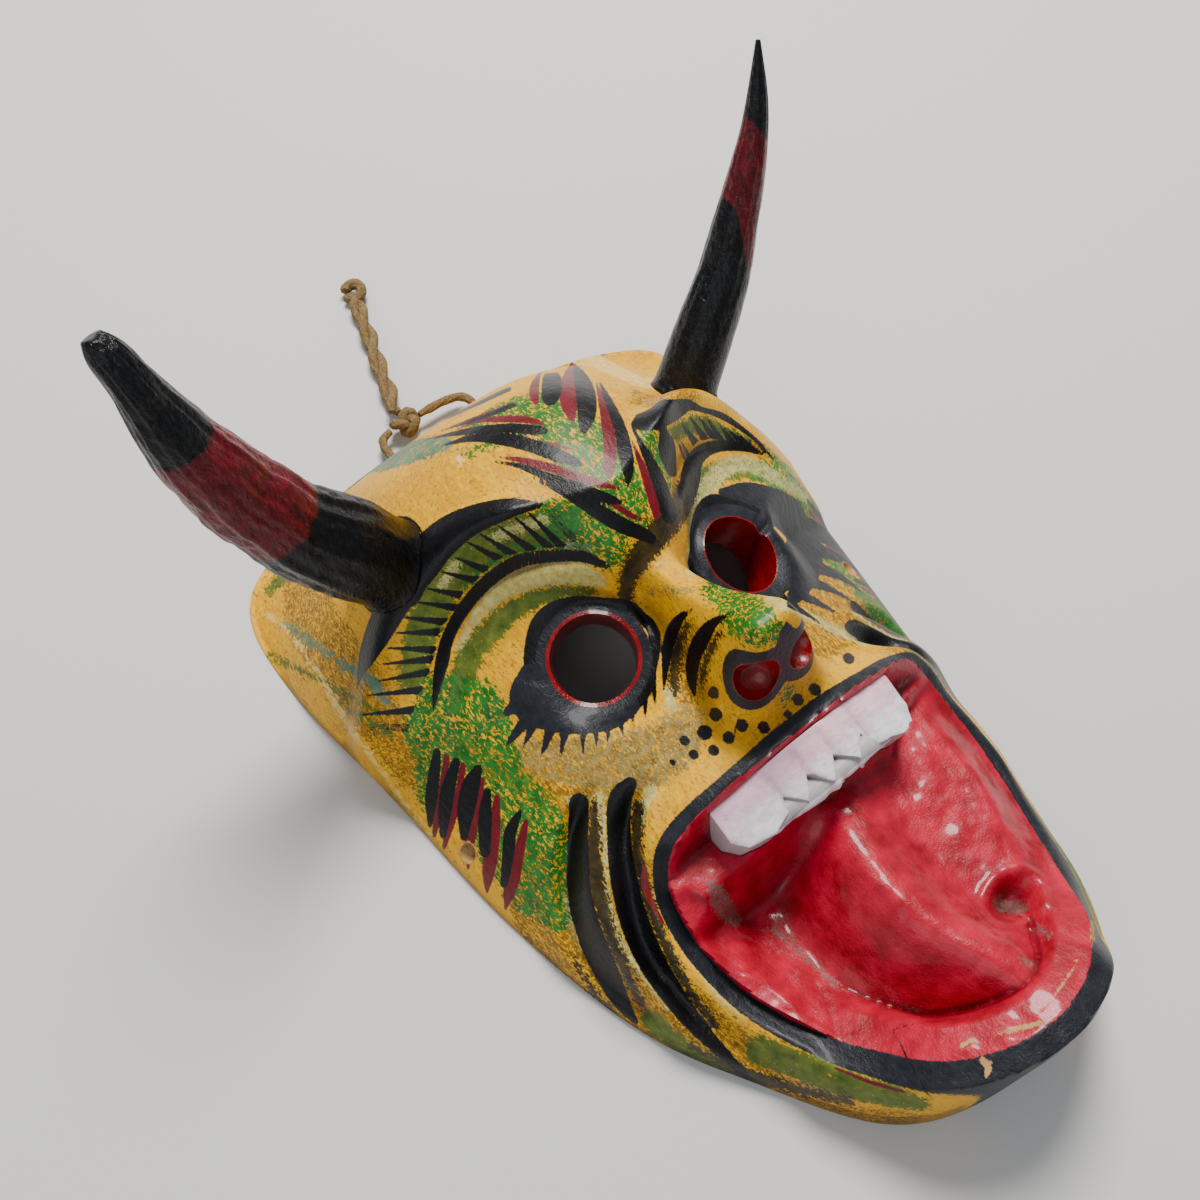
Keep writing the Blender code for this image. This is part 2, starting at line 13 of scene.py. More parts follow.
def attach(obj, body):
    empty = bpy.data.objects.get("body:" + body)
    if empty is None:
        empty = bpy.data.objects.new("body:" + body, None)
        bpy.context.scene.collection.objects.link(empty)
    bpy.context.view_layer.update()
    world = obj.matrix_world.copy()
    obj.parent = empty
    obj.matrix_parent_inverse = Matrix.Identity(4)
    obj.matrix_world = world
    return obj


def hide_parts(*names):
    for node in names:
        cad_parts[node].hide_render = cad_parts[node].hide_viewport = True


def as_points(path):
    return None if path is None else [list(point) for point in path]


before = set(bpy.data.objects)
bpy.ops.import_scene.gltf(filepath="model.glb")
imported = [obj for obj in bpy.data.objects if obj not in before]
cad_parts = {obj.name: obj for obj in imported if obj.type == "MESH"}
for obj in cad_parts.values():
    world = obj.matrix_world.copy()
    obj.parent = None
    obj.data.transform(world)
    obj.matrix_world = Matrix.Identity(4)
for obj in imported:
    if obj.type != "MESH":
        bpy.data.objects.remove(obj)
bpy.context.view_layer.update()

MM = 0.001
MIDDLE = (-2.09, 18.54)     # mm, the place in the mask's own plan that stands over the origin
VIEW = 1200                 # the picture's side, for places marked in it
VIEW_LENS = 1198.0          # the lens in the same marks
VIEW_FROM = np.array([-144.7, -111.4, 391.3])       # where the picture was taken from
VIEW_TURN, VIEW_DIP = math.radians(-38.9), math.radians(59.0)
AHEAD = np.array([-math.sin(VIEW_TURN) * math.cos(VIEW_DIP), math.cos(VIEW_TURN) * math.cos(VIEW_DIP),
                  -math.sin(VIEW_DIP)])
RIGHTWARD = np.array([math.cos(VIEW_TURN), math.sin(VIEW_TURN), 0.0])
UPWARD = np.cross(RIGHTWARD, AHEAD)

# sizes in mm: x to the viewer's right, y to the forehead, z out of the face from the plane of the rim
RIM_WALL = 13.0
EYE = (32.0, 31.5)
EYE_RING = 16.7
EYE_HOLE = 14.3
EYE_HEIGHT = 52.0
EYE_CUT = (-50, 22)         # how far the cutter reaches from the eye's ring, along its lean
EYE_TAPER = (-2.2, 1.0)     # and how much its two ends differ from the hole's radius
EYE_LEAN = (0.265, -0.265)
TIE_HOLE = ((-91.7, 18.6), (83.5, 18.6))
TIE_HOLE_RADIUS, TIE_HOLE_HEIGHT = 3.2, 9.6
ROPE_HOLES = (-22.0, 20.0)
ROPE_HOLE_RADIUS = 2.6
STRAND, TWIST = 3.8, 7.2
NOSTRIL = (9.3, -17.0, 82.0)
NOSTRIL_SIZE = (7.3, 7.8, 8.4)
NOSTRIL_TILT = 0.45
TONGUE_PIT, TONGUE_PIT_SIZE = (23.0, -104.5), (8.5, 5.6)
TONGUE_PIT_DEPTH, TONGUE_PIT_RIM = 6.5, 1.2
SIDES = ((-1, "left"), (1, "right"))
MOUTH_MIDDLE, JAW_MIDDLE, FACE_MIDDLE = (0.0, -75.0), (0.0, -62.0), (0.0, 10.0)
HORN_REACH, HORN_TOP = 116.2, 169.0     # no horn goes past these

# the rim's outline: (along, across) for the sides, (across, along) for crown and chin
LEFT = [(-126, -46), (-93, -68.5), (-58, -86.5), (-7, -98), (55, -103.5), (110, -109), (149, -104.5)]
CROWN = [(-83, 167), (-46, 176), (0, 180), (48, 177), (84, 167)]
RIGHT = [(148, 103), (100, 103.5), (45, 94), (-8, 83.5), (-55, 73.5), (-100, 60.5), (-128, 48)]
CHIN = [(14, -142), (-19, -140)]
# the lip's inner edge, right half
LIP_HALF = [(0, -29.5, 58), (28, -29.5, 57), (49, -30, 47), (57, -36, 33), (59.5, -48, 24), (59, -62, 20),
            (56, -77, 18.5), (50, -93, 21), (42, -108, 28), (32, -123, 39), (17, -132, 46)]
# round each eye, at degrees outward from the forehead: the gold ridge, the groove and the brow
TERRACE_ANGLE = [-110, -76, -54, -15, 3, 14, 26, 38, 51, 62, 80]
RIDGE_RADIUS = [19, 19.5, 19.7, 24.3, 29.5, 34, 39.5, 44, 46.3, 49, 54]
RIDGE_HEIGHT = [50, 58, 68, 68, 65, 62, 56, 48, 41, 35.5, 28]
GROOVE_RADIUS = [21.5, 21.5, 21.8, 27.7, 34, 38, 42.5, 47, 50.3, 53.7, 59]
GROOVE_HEIGHT = [53, 64, 74, 72, 68, 65, 59, 51.5, 45.5, 38, 30]
BROW_RADIUS = [40, 36, 40, 38.9, 43, 50, 56, 62, 69, 76, 90]
BROW_HEIGHT = [66, 77, 88, 87, 86, 80, 71, 58, 45, 32, 15]
# the two cheek folds, (along, across)
FOLDS = (((-8, 49), (-20, 60), (-36, 70), (-53, 73), (-70, 71), (-86, 66.5), (-98, 62)),
         ((2, 62), (-9, 75), (-25, 85), (-44, 86), (-56, 83)))
# how far the right cheek reaches: along, across, and how much the place along moves on for a mm of height
FLANK = [(-131, 50, -0.04), (-111, 59, 0.0), (-96, 63, 0.05), (-81, 67, 0.09), (-66, 72, 0.12),
         (-53, 74, 0.15), (-38, 76, 0.19), (-25, 81, 0.22), (-10, 83, 0.26), (8, 88, 0.30), (28, 92, 0.35),
         (41, 94, 0.38), (61, 97, 0.45), (72, 99, 0.48), (91, 103, 0.60), (116, 103, 0.60), (160, 99, 0.60)]
# the roof of the hollow back: (along, height)
HOLLOW = [(-125, 0), (-90, 3), (-25, 5), (0, 20), (30, 32), (76, 56), (100, 57), (130, 42), (150, 25),
          (160, 17), (168, 11)]
# the right horn's middle line, each horn's tip, and radii at shares of the way; the left one stands thicker
HORN_LINE = [(60.0, 94.8, 54), (65, 97, 60), (75, 101, 75), (82, 104, 84), (88, 107, 92), (93, 110, 103),
             (98, 113, 112), (101.5, 115, 122), (105, 117.5, 130), (107.6, 120, 139), (109.6, 123, 147.5)]
HORN_TIP = {"left": [(111, 125.5, 155.5), (113, 133, 168)], "right": [(111.3, 126.5, 158.5)]}
HORN_RADII = {"left": [(0, 15.4), (0.12, 15.2), (0.28, 13.3), (0.38, 12.2), (0.5, 10.6), (0.62, 9.0),
                       (0.78, 7.2), (0.9, 5.3), (0.97, 3.6), (1, 2.0)],
              "right": [(0, 11.4), (0.12, 11.2), (0.3, 10.0), (0.45, 8.6), (0.55, 7.5), (0.66, 6.3),
                        (0.76, 4.9), (0.86, 3.5), (0.94, 2.0), (1, 0.8)]}
HORN_SWELL = [(0, 1.0), (0.10, 1.0), (0.22, 1.15), (0.38, 1.17), (0.6, 1.30), (0.75, 1.24), (0.9, 1.14),
              (1, 1.5)]
HORN_BAND = {"left": (0.405, 0.725, 0.0, 0.0),      # the red band's start and end, their slant and tilt
             "right": (0.46, 0.77, 0.13, 0.045)}
# the teeth's corners and notches: across, lower edge, height
TEETH = [(-37.5, -41, 46), (-34, -46, 46), (-26, -48, 48.5), (-18.5, -46, 50), (-16.8, -41, 52),
         (-11.5, -47, 50.5), (-6.6, -40.5, 53), (-1, -47, 51), (4.4, -40.5, 53), (10.5, -46.5, 50.5),
         (16.4, -40.5, 52), (18, -46, 50), (28, -49, 48), (34.5, -47, 46), (37.5, -41, 46)]
# the hanger's routes, knot and turned-back end
TWIST_ROUTE = [(-8.1, 192.9, 5.2), (-6.6, 198, 4.6), (-3.3, 205.5, 4.0), (1.3, 219.9, 3.8), (7.2, 236.5, 3.8),
               (11.2, 249, 3.8), (14.8, 258.9, 3.8)]
STRAND_ROUTE = [(-15.4, 185.9, 5.4), (-19.5, 184.6, 5.1), (-21.6, 181.5, 5.0), (-22, 176, 5.0),
                (-22, 168, 5.0), (-22, 162, 5.2), (-20.5, 157, 5.6), (-15, 154.6, 5.8), (-1, 154.6, 5.8),
                (13, 154.6, 5.8), (18.6, 157, 5.6), (20, 162, 5.2), (20, 168, 5.0), (20, 176, 5.0),
                (19.6, 180.6, 5.0), (17, 183.8, 5.2), (11, 185.0, 5.8), (4, 185.2, 6.2), (-1.2, 185.4, 6.0)]
KNOT = (-7.8, 185.1, 6.1)
ROPE_EYE = (16.8, 264.1, 3.6)


# the carver's curves
def smooth(a, b, x):
    "0 before a, 1 past b, and a soft step between them"
    t = np.clip((x - a) / (b - a), 0.0, 1.0)
    return t * t * (3.0 - 2.0 * t)


def bell(x, width):
    "1 at 0, falling away over the width"
    return np.exp(-(x / width) ** 2)


def through(stations, x):
    "a smooth curve through (x, value) stations"
    s = np.array(stations, float)
    xs, ys = s[:, 0], s[:, 1]
    m = np.gradient(ys, xs)
    x = np.clip(x, xs[0], xs[-1])
    i = np.clip(np.searchsorted(xs, x) - 1, 0, len(xs) - 2)
    h = xs[i + 1] - xs[i]
    t = (x - xs[i]) / h
    return ((2 * t ** 3 - 3 * t ** 2 + 1) * ys[i] + (t ** 3 - 2 * t ** 2 + t) * h * m[i]
            + (-2 * t ** 3 + 3 * t ** 2) * ys[i + 1] + (t ** 3 - t ** 2) * h * m[i + 1])


def spline(points, count, closed=False):
    "evenly spaced points on a smooth curve through the given ones"
    p = np.array(points, float)
    t = np.linspace(0, 1, 24, endpoint=False)[:, None]
    n = len(p)
    out = []
    for i in range(n if closed else n - 1):
        b, c = p[i], p[(i + 1) % n]
        a = p[i - 1] if closed or i > 0 else 2 * b - c
        d = p[(i + 2) % n] if closed or i < n - 2 else 2 * c - b
        out.append(0.5 * (2 * b + (c - a) * t + (2 * a - 5 * b + 4 * c - d) * t ** 2
                          + (3 * b - a - 3 * c + d) * t ** 3))
    q = np.vstack(out + [p[:1] if closed else p[-1:]])
    s = np.concatenate([[0], np.cumsum(np.linalg.norm(np.diff(q, axis=0), axis=1))])
    at = np.linspace(0, s[-1], count, endpoint=not closed)
    return np.stack([np.interp(at, s, q[:, j]) for j in range(q.shape[1])], 1)


def lumps(x, y, size, seed):
    "gentle unevenness between -1 and 1 whose lumps are about size mm across"
    table = np.random.RandomState(seed).uniform(-1, 1, (97, 97))
    gx, gy = x / size + 970.0, y / size + 970.0
    ix, iy = np.floor(gx).astype(int), np.floor(gy).astype(int)
    fx, fy = smooth(0, 1, gx - ix), smooth(0, 1, gy - iy)
    low = table[ix % 97, iy % 97] * (1 - fx) + table[(ix + 1) % 97, iy % 97] * fx
    high = table[ix % 97, (iy + 1) % 97] * (1 - fx) + table[(ix + 1) % 97, (iy + 1) % 97] * fx
    return low * (1 - fy) + high * fy


RIM = spline([(x, y) for y, x in LEFT] + CROWN + [(x, y) for y, x in RIGHT] + CHIN, 720, True)
LIP = spline([(-x, y, z) for x, y, z in LIP_HALF[::-1]] + LIP_HALF[1:] + [(0, -135, 49)], 480, True)
UPPER = RIM[RIM[:, 1] > 100]
UPPER = UPPER[np.argsort(UPPER[:, 0])]


def around(curve, middle, x, y, column=None):
    "the curve's distance from its middle toward (x, y), or the value in one of its columns there"
    cx, cy = middle
    a = np.arctan2(curve[:, 1] - cy, curve[:, 0] - cx)
    o = np.argsort(a)
    v = np.hypot(curve[:, 0] - cx, curve[:, 1] - cy) if column is None else curve[:, column]
    return np.interp(np.arctan2(y - cy, x - cx), a[o], v[o], period=2 * np.pi)


def lip_distance(x, y):
    "distance from the lip's inner edge, positive inside the mouth"
    d2 = np.full(x.shape, 1e9)
    for px, py, _ in LIP:
        d2 = np.minimum(d2, (x - px) ** 2 + (y - py) ** 2)
    inside = np.hypot(x, y - MOUTH_MIDDLE[1]) < around(LIP, MOUTH_MIDDLE, x, y)
    return np.where(inside, 1, -1) * np.sqrt(d2)


def terraces(x, y):
    "distance and angle from the eye's middle, then radius and height of gold ridge, groove and brow there"
    dx, dy = np.sqrt(x * x + 25.0) - EYE[0], y - EYE[1]
    r, angle = np.hypot(dx, dy), np.degrees(np.arctan2(dx, dy))
    profiles = (RIDGE_RADIUS, RIDGE_HEIGHT, GROOVE_RADIUS, GROOVE_HEIGHT, BROW_RADIUS, BROW_HEIGHT)
    return (r, angle) + tuple(through(list(zip(TERRACE_ANGLE, profile)), angle) for profile in profiles)


def eye_terraces(x, y, base):
    "the ring about the eye, the gold ridge, the groove and the step up to the brow"
    r, angle, rg, zg, rk, zk, rb, zb = terraces(x, y)
    z = base(smooth(0, 1, (r - rk) / (rb - rk)) * (1 - smooth(85, 120, np.abs(angle))))
    ring = EYE_HEIGHT - 6.5 * np.cos(np.radians(angle - 135))
    step = ring + (zg - ring) * np.clip((r - EYE_RING) / (rg - EYE_RING), 0, 1) ** 1.3
    step = np.where(r > rg, zg + (zk - zg) * np.clip((r - rg) / (rk - rg), 0, 1), step)
    step = np.where(r > rk, zk + (zb - zk) * np.clip((r - rk) / (rb - rk), 0, 1) ** 0.8, step)
    step = step - 2.0 * bell(r - rk, 2.4) + 1.5 * bell(r - rg, 2.4)
    w = smooth(-125, -85, angle) * (1 - smooth(60, 84, angle)) * (1 - smooth(0, 16, r - rb))
    z = z + (step - z) * w
    return ring + (z - ring) * np.maximum(w, smooth(EYE_RING - 1, 30, r))


def eye_axis(side):
    "the middle of an eye's ring and the direction its hole leans in; side is -1 or 1"
    lean = np.array([EYE_LEAN[0] * side, EYE_LEAN[1], 0.0])
    lean[2] = (1 - lean @ lean) ** 0.5
    return np.array([EYE[0] * side, EYE[1], EYE_HEIGHT]), lean


def fold_distances(x, y):
    "for each carved cheek fold: distance from its middle, and how much of it is there"
    for fold in FOLDS:
        line = fold[::-1]
        slope = np.abs(through(line, y + 1) - through(line, y - 1)) / 2
        d = (np.abs(x) - through(line, y)) / np.sqrt(1 + slope ** 2)
        yield d, smooth(line[-1][0] + 2, line[-1][0] - 5, y) * smooth(line[0][0] - 14, line[0][0], y)


def mouth(x, y, d, lip):
    "the open mouth: an inner band along the lip, a deep floor and the tongue that lies on it"
    floor = through([(-60, 24), (-35, 12), (-22, 12), (10, 26), (30, 24), (60, 22)], x + 0.35 * (y + 60))
    floor = floor + (np.maximum(floor, 34) - floor) * smooth(-56, -44, y)
    under = 1 - smooth(-36, -60, y)
    band = lip - 0.35 * np.clip(d, 0, 12)
    drop = smooth(9, 20, d) * (1 - under) + smooth(0.5, 5, d) * under
    z = band + (np.minimum(floor, band) - band) * drop
    line = through([(-135, 6), (-113, 0), (-98, -5), (-82, -7), (-66, -5), (-50, 2), (-30, 4)], y)
    crest = through([(-135, 42), (-113, 43), (-98, 42), (-82, 41), (-66, 39), (-50, 35), (-36, 34)], y)
    tongue = np.where(x < line, floor + (crest - floor) * smooth(27, 0, line - x),
                      30 + (crest - 30) * smooth(22, 0, x - line))
    lifted = z + (np.maximum(tongue, z) - z) * smooth(-2, 14, d)
    lying = np.maximum(z, np.minimum(tongue, lip + 4 + np.clip(d - 6, 0, 60)))
    z = lying + (lifted - lying) * smooth(-7, 7, x - line)
    pit = np.hypot((x - TONGUE_PIT[0]) / TONGUE_PIT_SIZE[0], (y - TONGUE_PIT[1]) / TONGUE_PIT_SIZE[1])
    return z - TONGUE_PIT_DEPTH * (1 - smooth(0.15, 1.15, pit)) + TONGUE_PIT_RIM * bell(pit - 1.35, 0.25)


def face(x, y):
    "height of the carved front over the rim's plane"
    x, y = np.asarray(x, float), np.asarray(y, float)
    width = np.where(x < 0, -through(LEFT, y), through(RIGHT[::-1], y))
    t = np.clip(np.abs(x) / width, 0, 1)
    right = smooth(0, 30, x)
    side = (1 - t ** (1.9 - 0.35 * right)) ** (0.76 + 0.12 * right)
    low = through([(-60, 52), (-28, 57), (0, 59), (32, 58), (55, 62), (80, 66), (110, 60), (180, 30)], y)
    crown = np.interp(x, UPPER[:, 0], UPPER[:, 1])
    yy = np.where(y > 60, 60 + (y - 60) * 120 / np.maximum(crown - 60, 20), y)
    up = through([(0, 76), (43, 84), (60, 89), (80, 90), (97, 88), (117, 78), (137, 61), (150, 46), (162, 29),
                  (172, 13), (180, 0), (190, 0)], yy)
    corner = 1 - 0.30 * smooth(45, 95, np.abs(x)) * smooth(105, 160, y)
    z = eye_terraces(x, y, lambda b: side * (low * (1 - b) + up * b) * corner)
    crest = through([(-32, 40), (-27, 55), (-23.5, 66), (-20, 78), (-16, 92), (-12.5, 98.5), (-8, 99.5),
                     (0, 93), (10, 84), (25, 75), (34, 72), (50, 60), (60, 50)], y)
    wide = through([(-30, 30), (-24, 29), (-12, 27), (0, 23), (12, 18), (25, 15), (50, 14)], y)
    nose = crest - (crest - 45) * smooth(0.2, 1.0, np.abs(x) / wide) - 90 * smooth(0.9, 1.6, np.abs(x) / wide)
    nose = np.where((y > -32) & (y < 58), nose, -60)
    z = np.logaddexp(z / 3.0, nose / 3.0) * 3.0
    lip = around(LIP, JAW_MIDDLE, x, y, 2)
    inner = around(LIP, JAW_MIDDLE, x, y) + 6.5
    s = np.clip((np.hypot(x, y - JAW_MIDDLE[1]) - inner) / (around(RIM, JAW_MIDDLE, x, y) - inner), 0, 1)
    jaw = smooth(-12, -38, y)
    z = z * (1 - jaw) + lip * (1 - s ** 2.4) ** 0.7 * jaw
    carve = sum(on * (1.5 * bell(d - 7, 3.0) + 1.5 * bell(d + 7, 3.0) - 5.0 * bell(d, 3.6))
                for d, on in fold_distances(x, y))
    z = z + carve * np.clip(z / 12, 0, 1)
    lean = through([(a, c) for a, b, c in FLANK], y) * np.clip(z, 0, 70)
    reach = through([(a, b) for a, b, c in FLANK], y + lean)
    cap = np.minimum(5 + (reach - x) / 0.65 + 60 * smooth(20, -20, x),
                     np.where(y > 60, 1.35 * (crown - y) + 2, 900))
    z = -np.logaddexp(-z / 2.5, -np.maximum(cap, 0) / 2.5) * 2.5
    d = lip_distance(x, y)
    return np.where(d > 0, mouth(x, y, d, lip), z)


def to_metres(points):
    return (np.array(points, float) - [MIDDLE[0], MIDDLE[1], 0.0]) * MM


def to_plan(points):
    return np.array(points, float) / MM + [MIDDLE[0], MIDDLE[1], 0.0]


# the bench: small tools that every piece is made with
def bare():
    "nothing selected"
    for o in list(bpy.context.selected_objects):
        o.select_set(False)


def take(obj):
    "only this piece selected and active"
    bare()
    obj.select_set(True)
    bpy.context.view_layer.objects.active = obj
    return obj


def kept(items, key, wide=3):
    "what Blender keeps for every vertex or face, a row for each"
    rows = np.empty(len(items) * wide)
    items.foreach_get(key, rows)
    return rows.reshape(-1, wide)


def corners(obj):
    return kept(obj.data.vertices, "co")


def set_corners(obj, co):
    obj.data.vertices.foreach_set("co", np.asarray(co, float).ravel())
    obj.data.update()


def give(obj, name, values):
    "a value at every vertex, for the paint to read"
    layer = obj.data.attributes.new(name, "FLOAT", "POINT")
    layer.data.foreach_set("value", np.asarray(values, np.float32))


def fresh(name):
    obj = bpy.context.object
    obj.name = obj.data.name = name
    return obj


def apply(obj):
    take(obj)
    for m in list(obj.modifiers):
        bpy.ops.object.modifier_apply(modifier=m.name)
    return obj


@contextmanager
def editing(first="SELECT"):
    "edit mode for as long as the block lasts, with everything selected or nothing"
    bpy.ops.object.mode_set(mode="EDIT")
    bpy.ops.mesh.select_all(action=first)
    yield
    bpy.ops.object.mode_set(mode="OBJECT")


def pick_open_edges():
    bpy.ops.mesh.select_all(action="DESELECT")
    bpy.ops.mesh.select_non_manifold(extend=False, use_wire=False, use_boundary=True, use_multi_face=False,
                                     use_non_contiguous=False, use_verts=False)


def all_outward():
    bpy.ops.mesh.select_all(action="SELECT")
    bpy.ops.mesh.normals_make_consistent(inside=False)


def grid(name, across, along):
    bare()
    bpy.ops.mesh.primitive_grid_add(x_subdivisions=across, y_subdivisions=along, size=2)
    obj = fresh(name)
    return obj, corners(obj)


def ball(name, segments, rings, matrix):
    bare()
    bpy.ops.mesh.primitive_uv_sphere_add(segments=segments, ring_count=rings, radius=1.0)
    obj = fresh(name)
    obj.data.transform(matrix)
    return obj


def placed(place, size, turn=Matrix()):
    "the matrix that brings a unit shape to a place and a size in mm"
    stretch = Matrix.Diagonal((*(s * MM for s in size), 1.0))
    return Matrix.Translation(Vector(to_metres(place))) @ turn @ stretch


def joined(pieces):
    take(pieces[0])
    for piece in pieces[1:]:
        piece.select_set(True)
    bpy.ops.object.join()
    return pieces[0]


def rolled(name, around_count, along_count, place, ring=False):
    "a grid rolled into a tube: place(turn 0-1, along 0-1) gives mm; a ring also meets itself lengthwise"
    obj, co = grid(name, around_count, along_count)
    turn, along = (co[:, 0] + 1) / 2, (co[:, 1] + 1) / 2
    turn = np.where(turn > 0.99999, 0.0, turn)
    if ring:
        along = np.where(along > 0.99999, 0.0, along)
    set_corners(obj, to_metres(place(turn, along)))
    give(obj, "along", along)
    give(obj, "turn", turn)
    with editing():
        bpy.ops.mesh.remove_doubles(threshold=1e-7)
        if not ring:
            pick_open_edges()
            bpy.ops.mesh.fill_holes(sides=0)
        all_outward()
    return obj


def along_line(line, start_side=(1.0, 0.0, 0.0), closed=False):
    "position, side and up directions at any share of the way along a line of points"
    p = np.array(line, float)
    n = len(p)
    if closed:
        ahead = np.roll(p, -1, 0) - np.roll(p, 1, 0)
    else:
        ahead = np.gradient(p, axis=0)
    ahead /= np.linalg.norm(ahead, axis=1)[:, None]
    side = np.empty_like(p)
    s = np.array(start_side if abs(ahead[0, 0]) < 0.95 else (0.0, 0.0, 1.0))
    for i in range(n):
        s = s - ahead[i] * s.dot(ahead[i])
        s /= np.linalg.norm(s)
        side[i] = s
    up = np.cross(ahead, side)
    if closed:
        p, side, up = (np.vstack([q, q[:1]]) for q in (p, side, up))
    share = np.linspace(0, 1, len(p))

    def at(t):
        return tuple(np.stack([np.interp(t, share, q[:, j]) for j in range(3)], 1) for q in (p, side, up))
    return at


def swung(middle, side, up, angle, radius):
    "places at an angle and a radius round points of a line"
    return middle + side * (np.cos(angle) * radius)[:, None] + up * (np.sin(angle) * radius)[:, None]


def line_length(line):
    return float(np.linalg.norm(np.diff(np.array(line, float), axis=0), axis=1).sum())


def tubing(name, line, thickness, sides, count, ribs=0, turns=0.0, depth=0.0, closed=False, taper=0.0):
    "a cord swept along a line, with its yarns wound round it as shallow ribs"
    at = along_line(line, closed=closed)
    length = line_length(line)

    def place(turn, along):
        p, side, up = at(along)
        a = turn * 2 * np.pi
        r = thickness / 2 + depth * (np.cos(ribs * a + 2 * np.pi * turns * along) - 1) / 2
        r = r + 0.10 * lumps(along * length, np.sin(a) * 3, 2.5, 5) * (depth > 0)
        if taper:
            r = r * np.minimum(1, taper + (1 - taper) * smooth(0, 0.04, np.minimum(along, 1 - along)))
        return swung(p, side, up, a, r)
    return rolled(name, sides, count, place, closed)


# the camera, where the picture was taken from
camera = bpy.data.objects.new("camera", bpy.data.cameras.new("camera"))
bpy.context.scene.collection.objects.link(camera)
camera.data.sensor_width = 36.0
camera.data.lens = 36.0 * VIEW_LENS / VIEW
camera.data.clip_start = 0.01
turned = Matrix([list(RIGHTWARD), list(UPWARD), list(-AHEAD)]).transposed().to_4x4()
turned.translation = Vector(to_metres(VIEW_FROM))
camera.matrix_world = turned
bpy.context.scene.camera = camera


# the hanger: one jute strand through the crown, knotted, and its two ends twisted into an eye
def twisted_pair():
    "the two strands laid round each other"
    line = spline(TWIST_ROUTE, 160)
    at = along_line(line)
    share = np.linspace(0, 1, 160)
    p, side, up = at(share)
    strands = []
    for half in (0, 1):
        a = 2 * np.pi * (2.1 * share + half / 2) + 0.6
        off = 1.75 * (1 - 0.25 * smooth(0.94, 1.0, share))
        route = swung(p, side, up, a, off)
        strands.append(tubing("strand", route, STRAND * 1.12, 24, 210, 6, 9.0, 0.35, taper=0.75))
    joined(strands)
    return fresh("jute_twist"), line


def overhand_knot():
    "a trefoil, which is an overhand knot with its ends joined"
    t = np.linspace(0, 2 * np.pi, 150, endpoint=False)
    x, y, z = np.sin(t) + 2 * np.sin(2 * t), np.cos(t) - 2 * np.cos(2 * t), -np.sin(3 * t)
    line = np.stack([x * 1.75, y * 1.5, z * 1.9], 1) + KNOT
    return tubing("jute_knot", line, STRAND * 1.15, 20, 300, 6, 14.0, 0.35, closed=True)


def turned_back_eye():
    "nearly a full ring, its start against the twisted strands' end"
    a = np.linspace(math.radians(-205), math.radians(125), 70)
    ring = np.stack([3.5 * np.cos(a + 0.35), 3.9 * np.sin(a + 0.35), 1.0 * np.cos(a)], 1) + ROPE_EYE
    return tubing("jute_eye", ring, 5.2, 24, 140, 7, 3.0, 0.5, taper=0.6)


hanger_twist, twist_line = twisted_pair()
hanger_knot = overhand_knot()
hanger_eye = turned_back_eye()
strand_line = spline(STRAND_ROUTE, 120)
hanger_loop = tubing("jute_loop", strand_line, STRAND, 24, 330, 6, 16.0, 0.35, taper=0.75)


for piece, node in ((hanger_twist, "hanger_twist"), (hanger_loop, "hanger_loop"),
                    (hanger_knot, "hanger_knot"), (hanger_eye, "hanger_eye")):
    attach(piece, "root")
    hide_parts(node)
to_metres(strand_line[0])
line_length(strand_line) * MM
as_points(to_metres(strand_line))
to_metres(twist_line[0])
line_length(twist_line) * MM
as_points(to_metres(twist_line))


# the carved block
def outline_patch(outline, u, v):
    "spreads the square (u, v) over the outline, with its sides as the square's sides"
    n = len(outline)
    corner = [int(np.argmin(np.hypot(outline[:, 0] - x, outline[:, 1] - y))) for x, y in
              ((-48, -122), (56, -104), (101, 156), (-99, 157))]

    def edge(i, j, s):
        k = (corner[j] - corner[i]) % n
        k = k - n if k > n / 2 else k
        at = corner[i] + k * s
        lo = np.floor(at).astype(int)
        f = (at - lo)[..., None]
        return outline[lo % n] * (1 - f) + outline[(lo + 1) % n] * f

    u, v = (u + 1) / 2, (v + 1) / 2
    low, high, left, right = edge(0, 1, u), edge(3, 2, u), edge(0, 3, v), edge(1, 2, v)
    c = [outline[k] for k in corner]
    u, v = u[..., None], v[..., None]
    return (low * (1 - v) + high * v + left * (1 - u) + right * u
            - (c[0] * (1 - u) * (1 - v) + c[1] * u * (1 - v) + c[2] * u * v + c[3] * (1 - u) * v))


def domed_block(name, cells, outline, height, least, depth, crowd):
    "a grid spread over the outline and raised to the height, closed by a flat underside"
    block, co = grid(name, *cells)
    u, v = (s * (1 - crowd) + np.sin(s * np.pi / 2) * crowd for s in (co[:, 0], co[:, 1]))
    at = outline_patch(outline, u, v)
    on_edge = np.maximum(np.abs(co[:, 0]), np.abs(co[:, 1])) > 0.9999
    z = np.where(on_edge, 0.0, np.maximum(height(at[:, 0], at[:, 1], u, v), least))
    set_corners(block, to_metres(np.column_stack([at, z])))
    with editing():
        pick_open_edges()
        if depth:
            bpy.ops.mesh.extrude_edges_move(TRANSFORM_OT_translate={"value": (0, 0, -depth * MM)})
        bpy.ops.mesh.edge_face_add()
        all_outward()
    return block


def carved_height(x, y, u, v):
    "the carved front with the unevenness that gouge and knife left"
    z = face(x, y)
    inside = smooth(0, 3, lip_distance(x, y))
    hand = 0.22 * lumps(x, y, 13, 1) + 0.10 * lumps(x, y, 5, 2)
    gouge = 0.45 * lumps(x + 0.4 * y, y - 0.4 * x, 7, 3) + 0.18 * lumps(x, y, 2.6, 4)
    return z + (hand + (gouge - hand) * inside) * np.clip(z / 8, 0, 1)


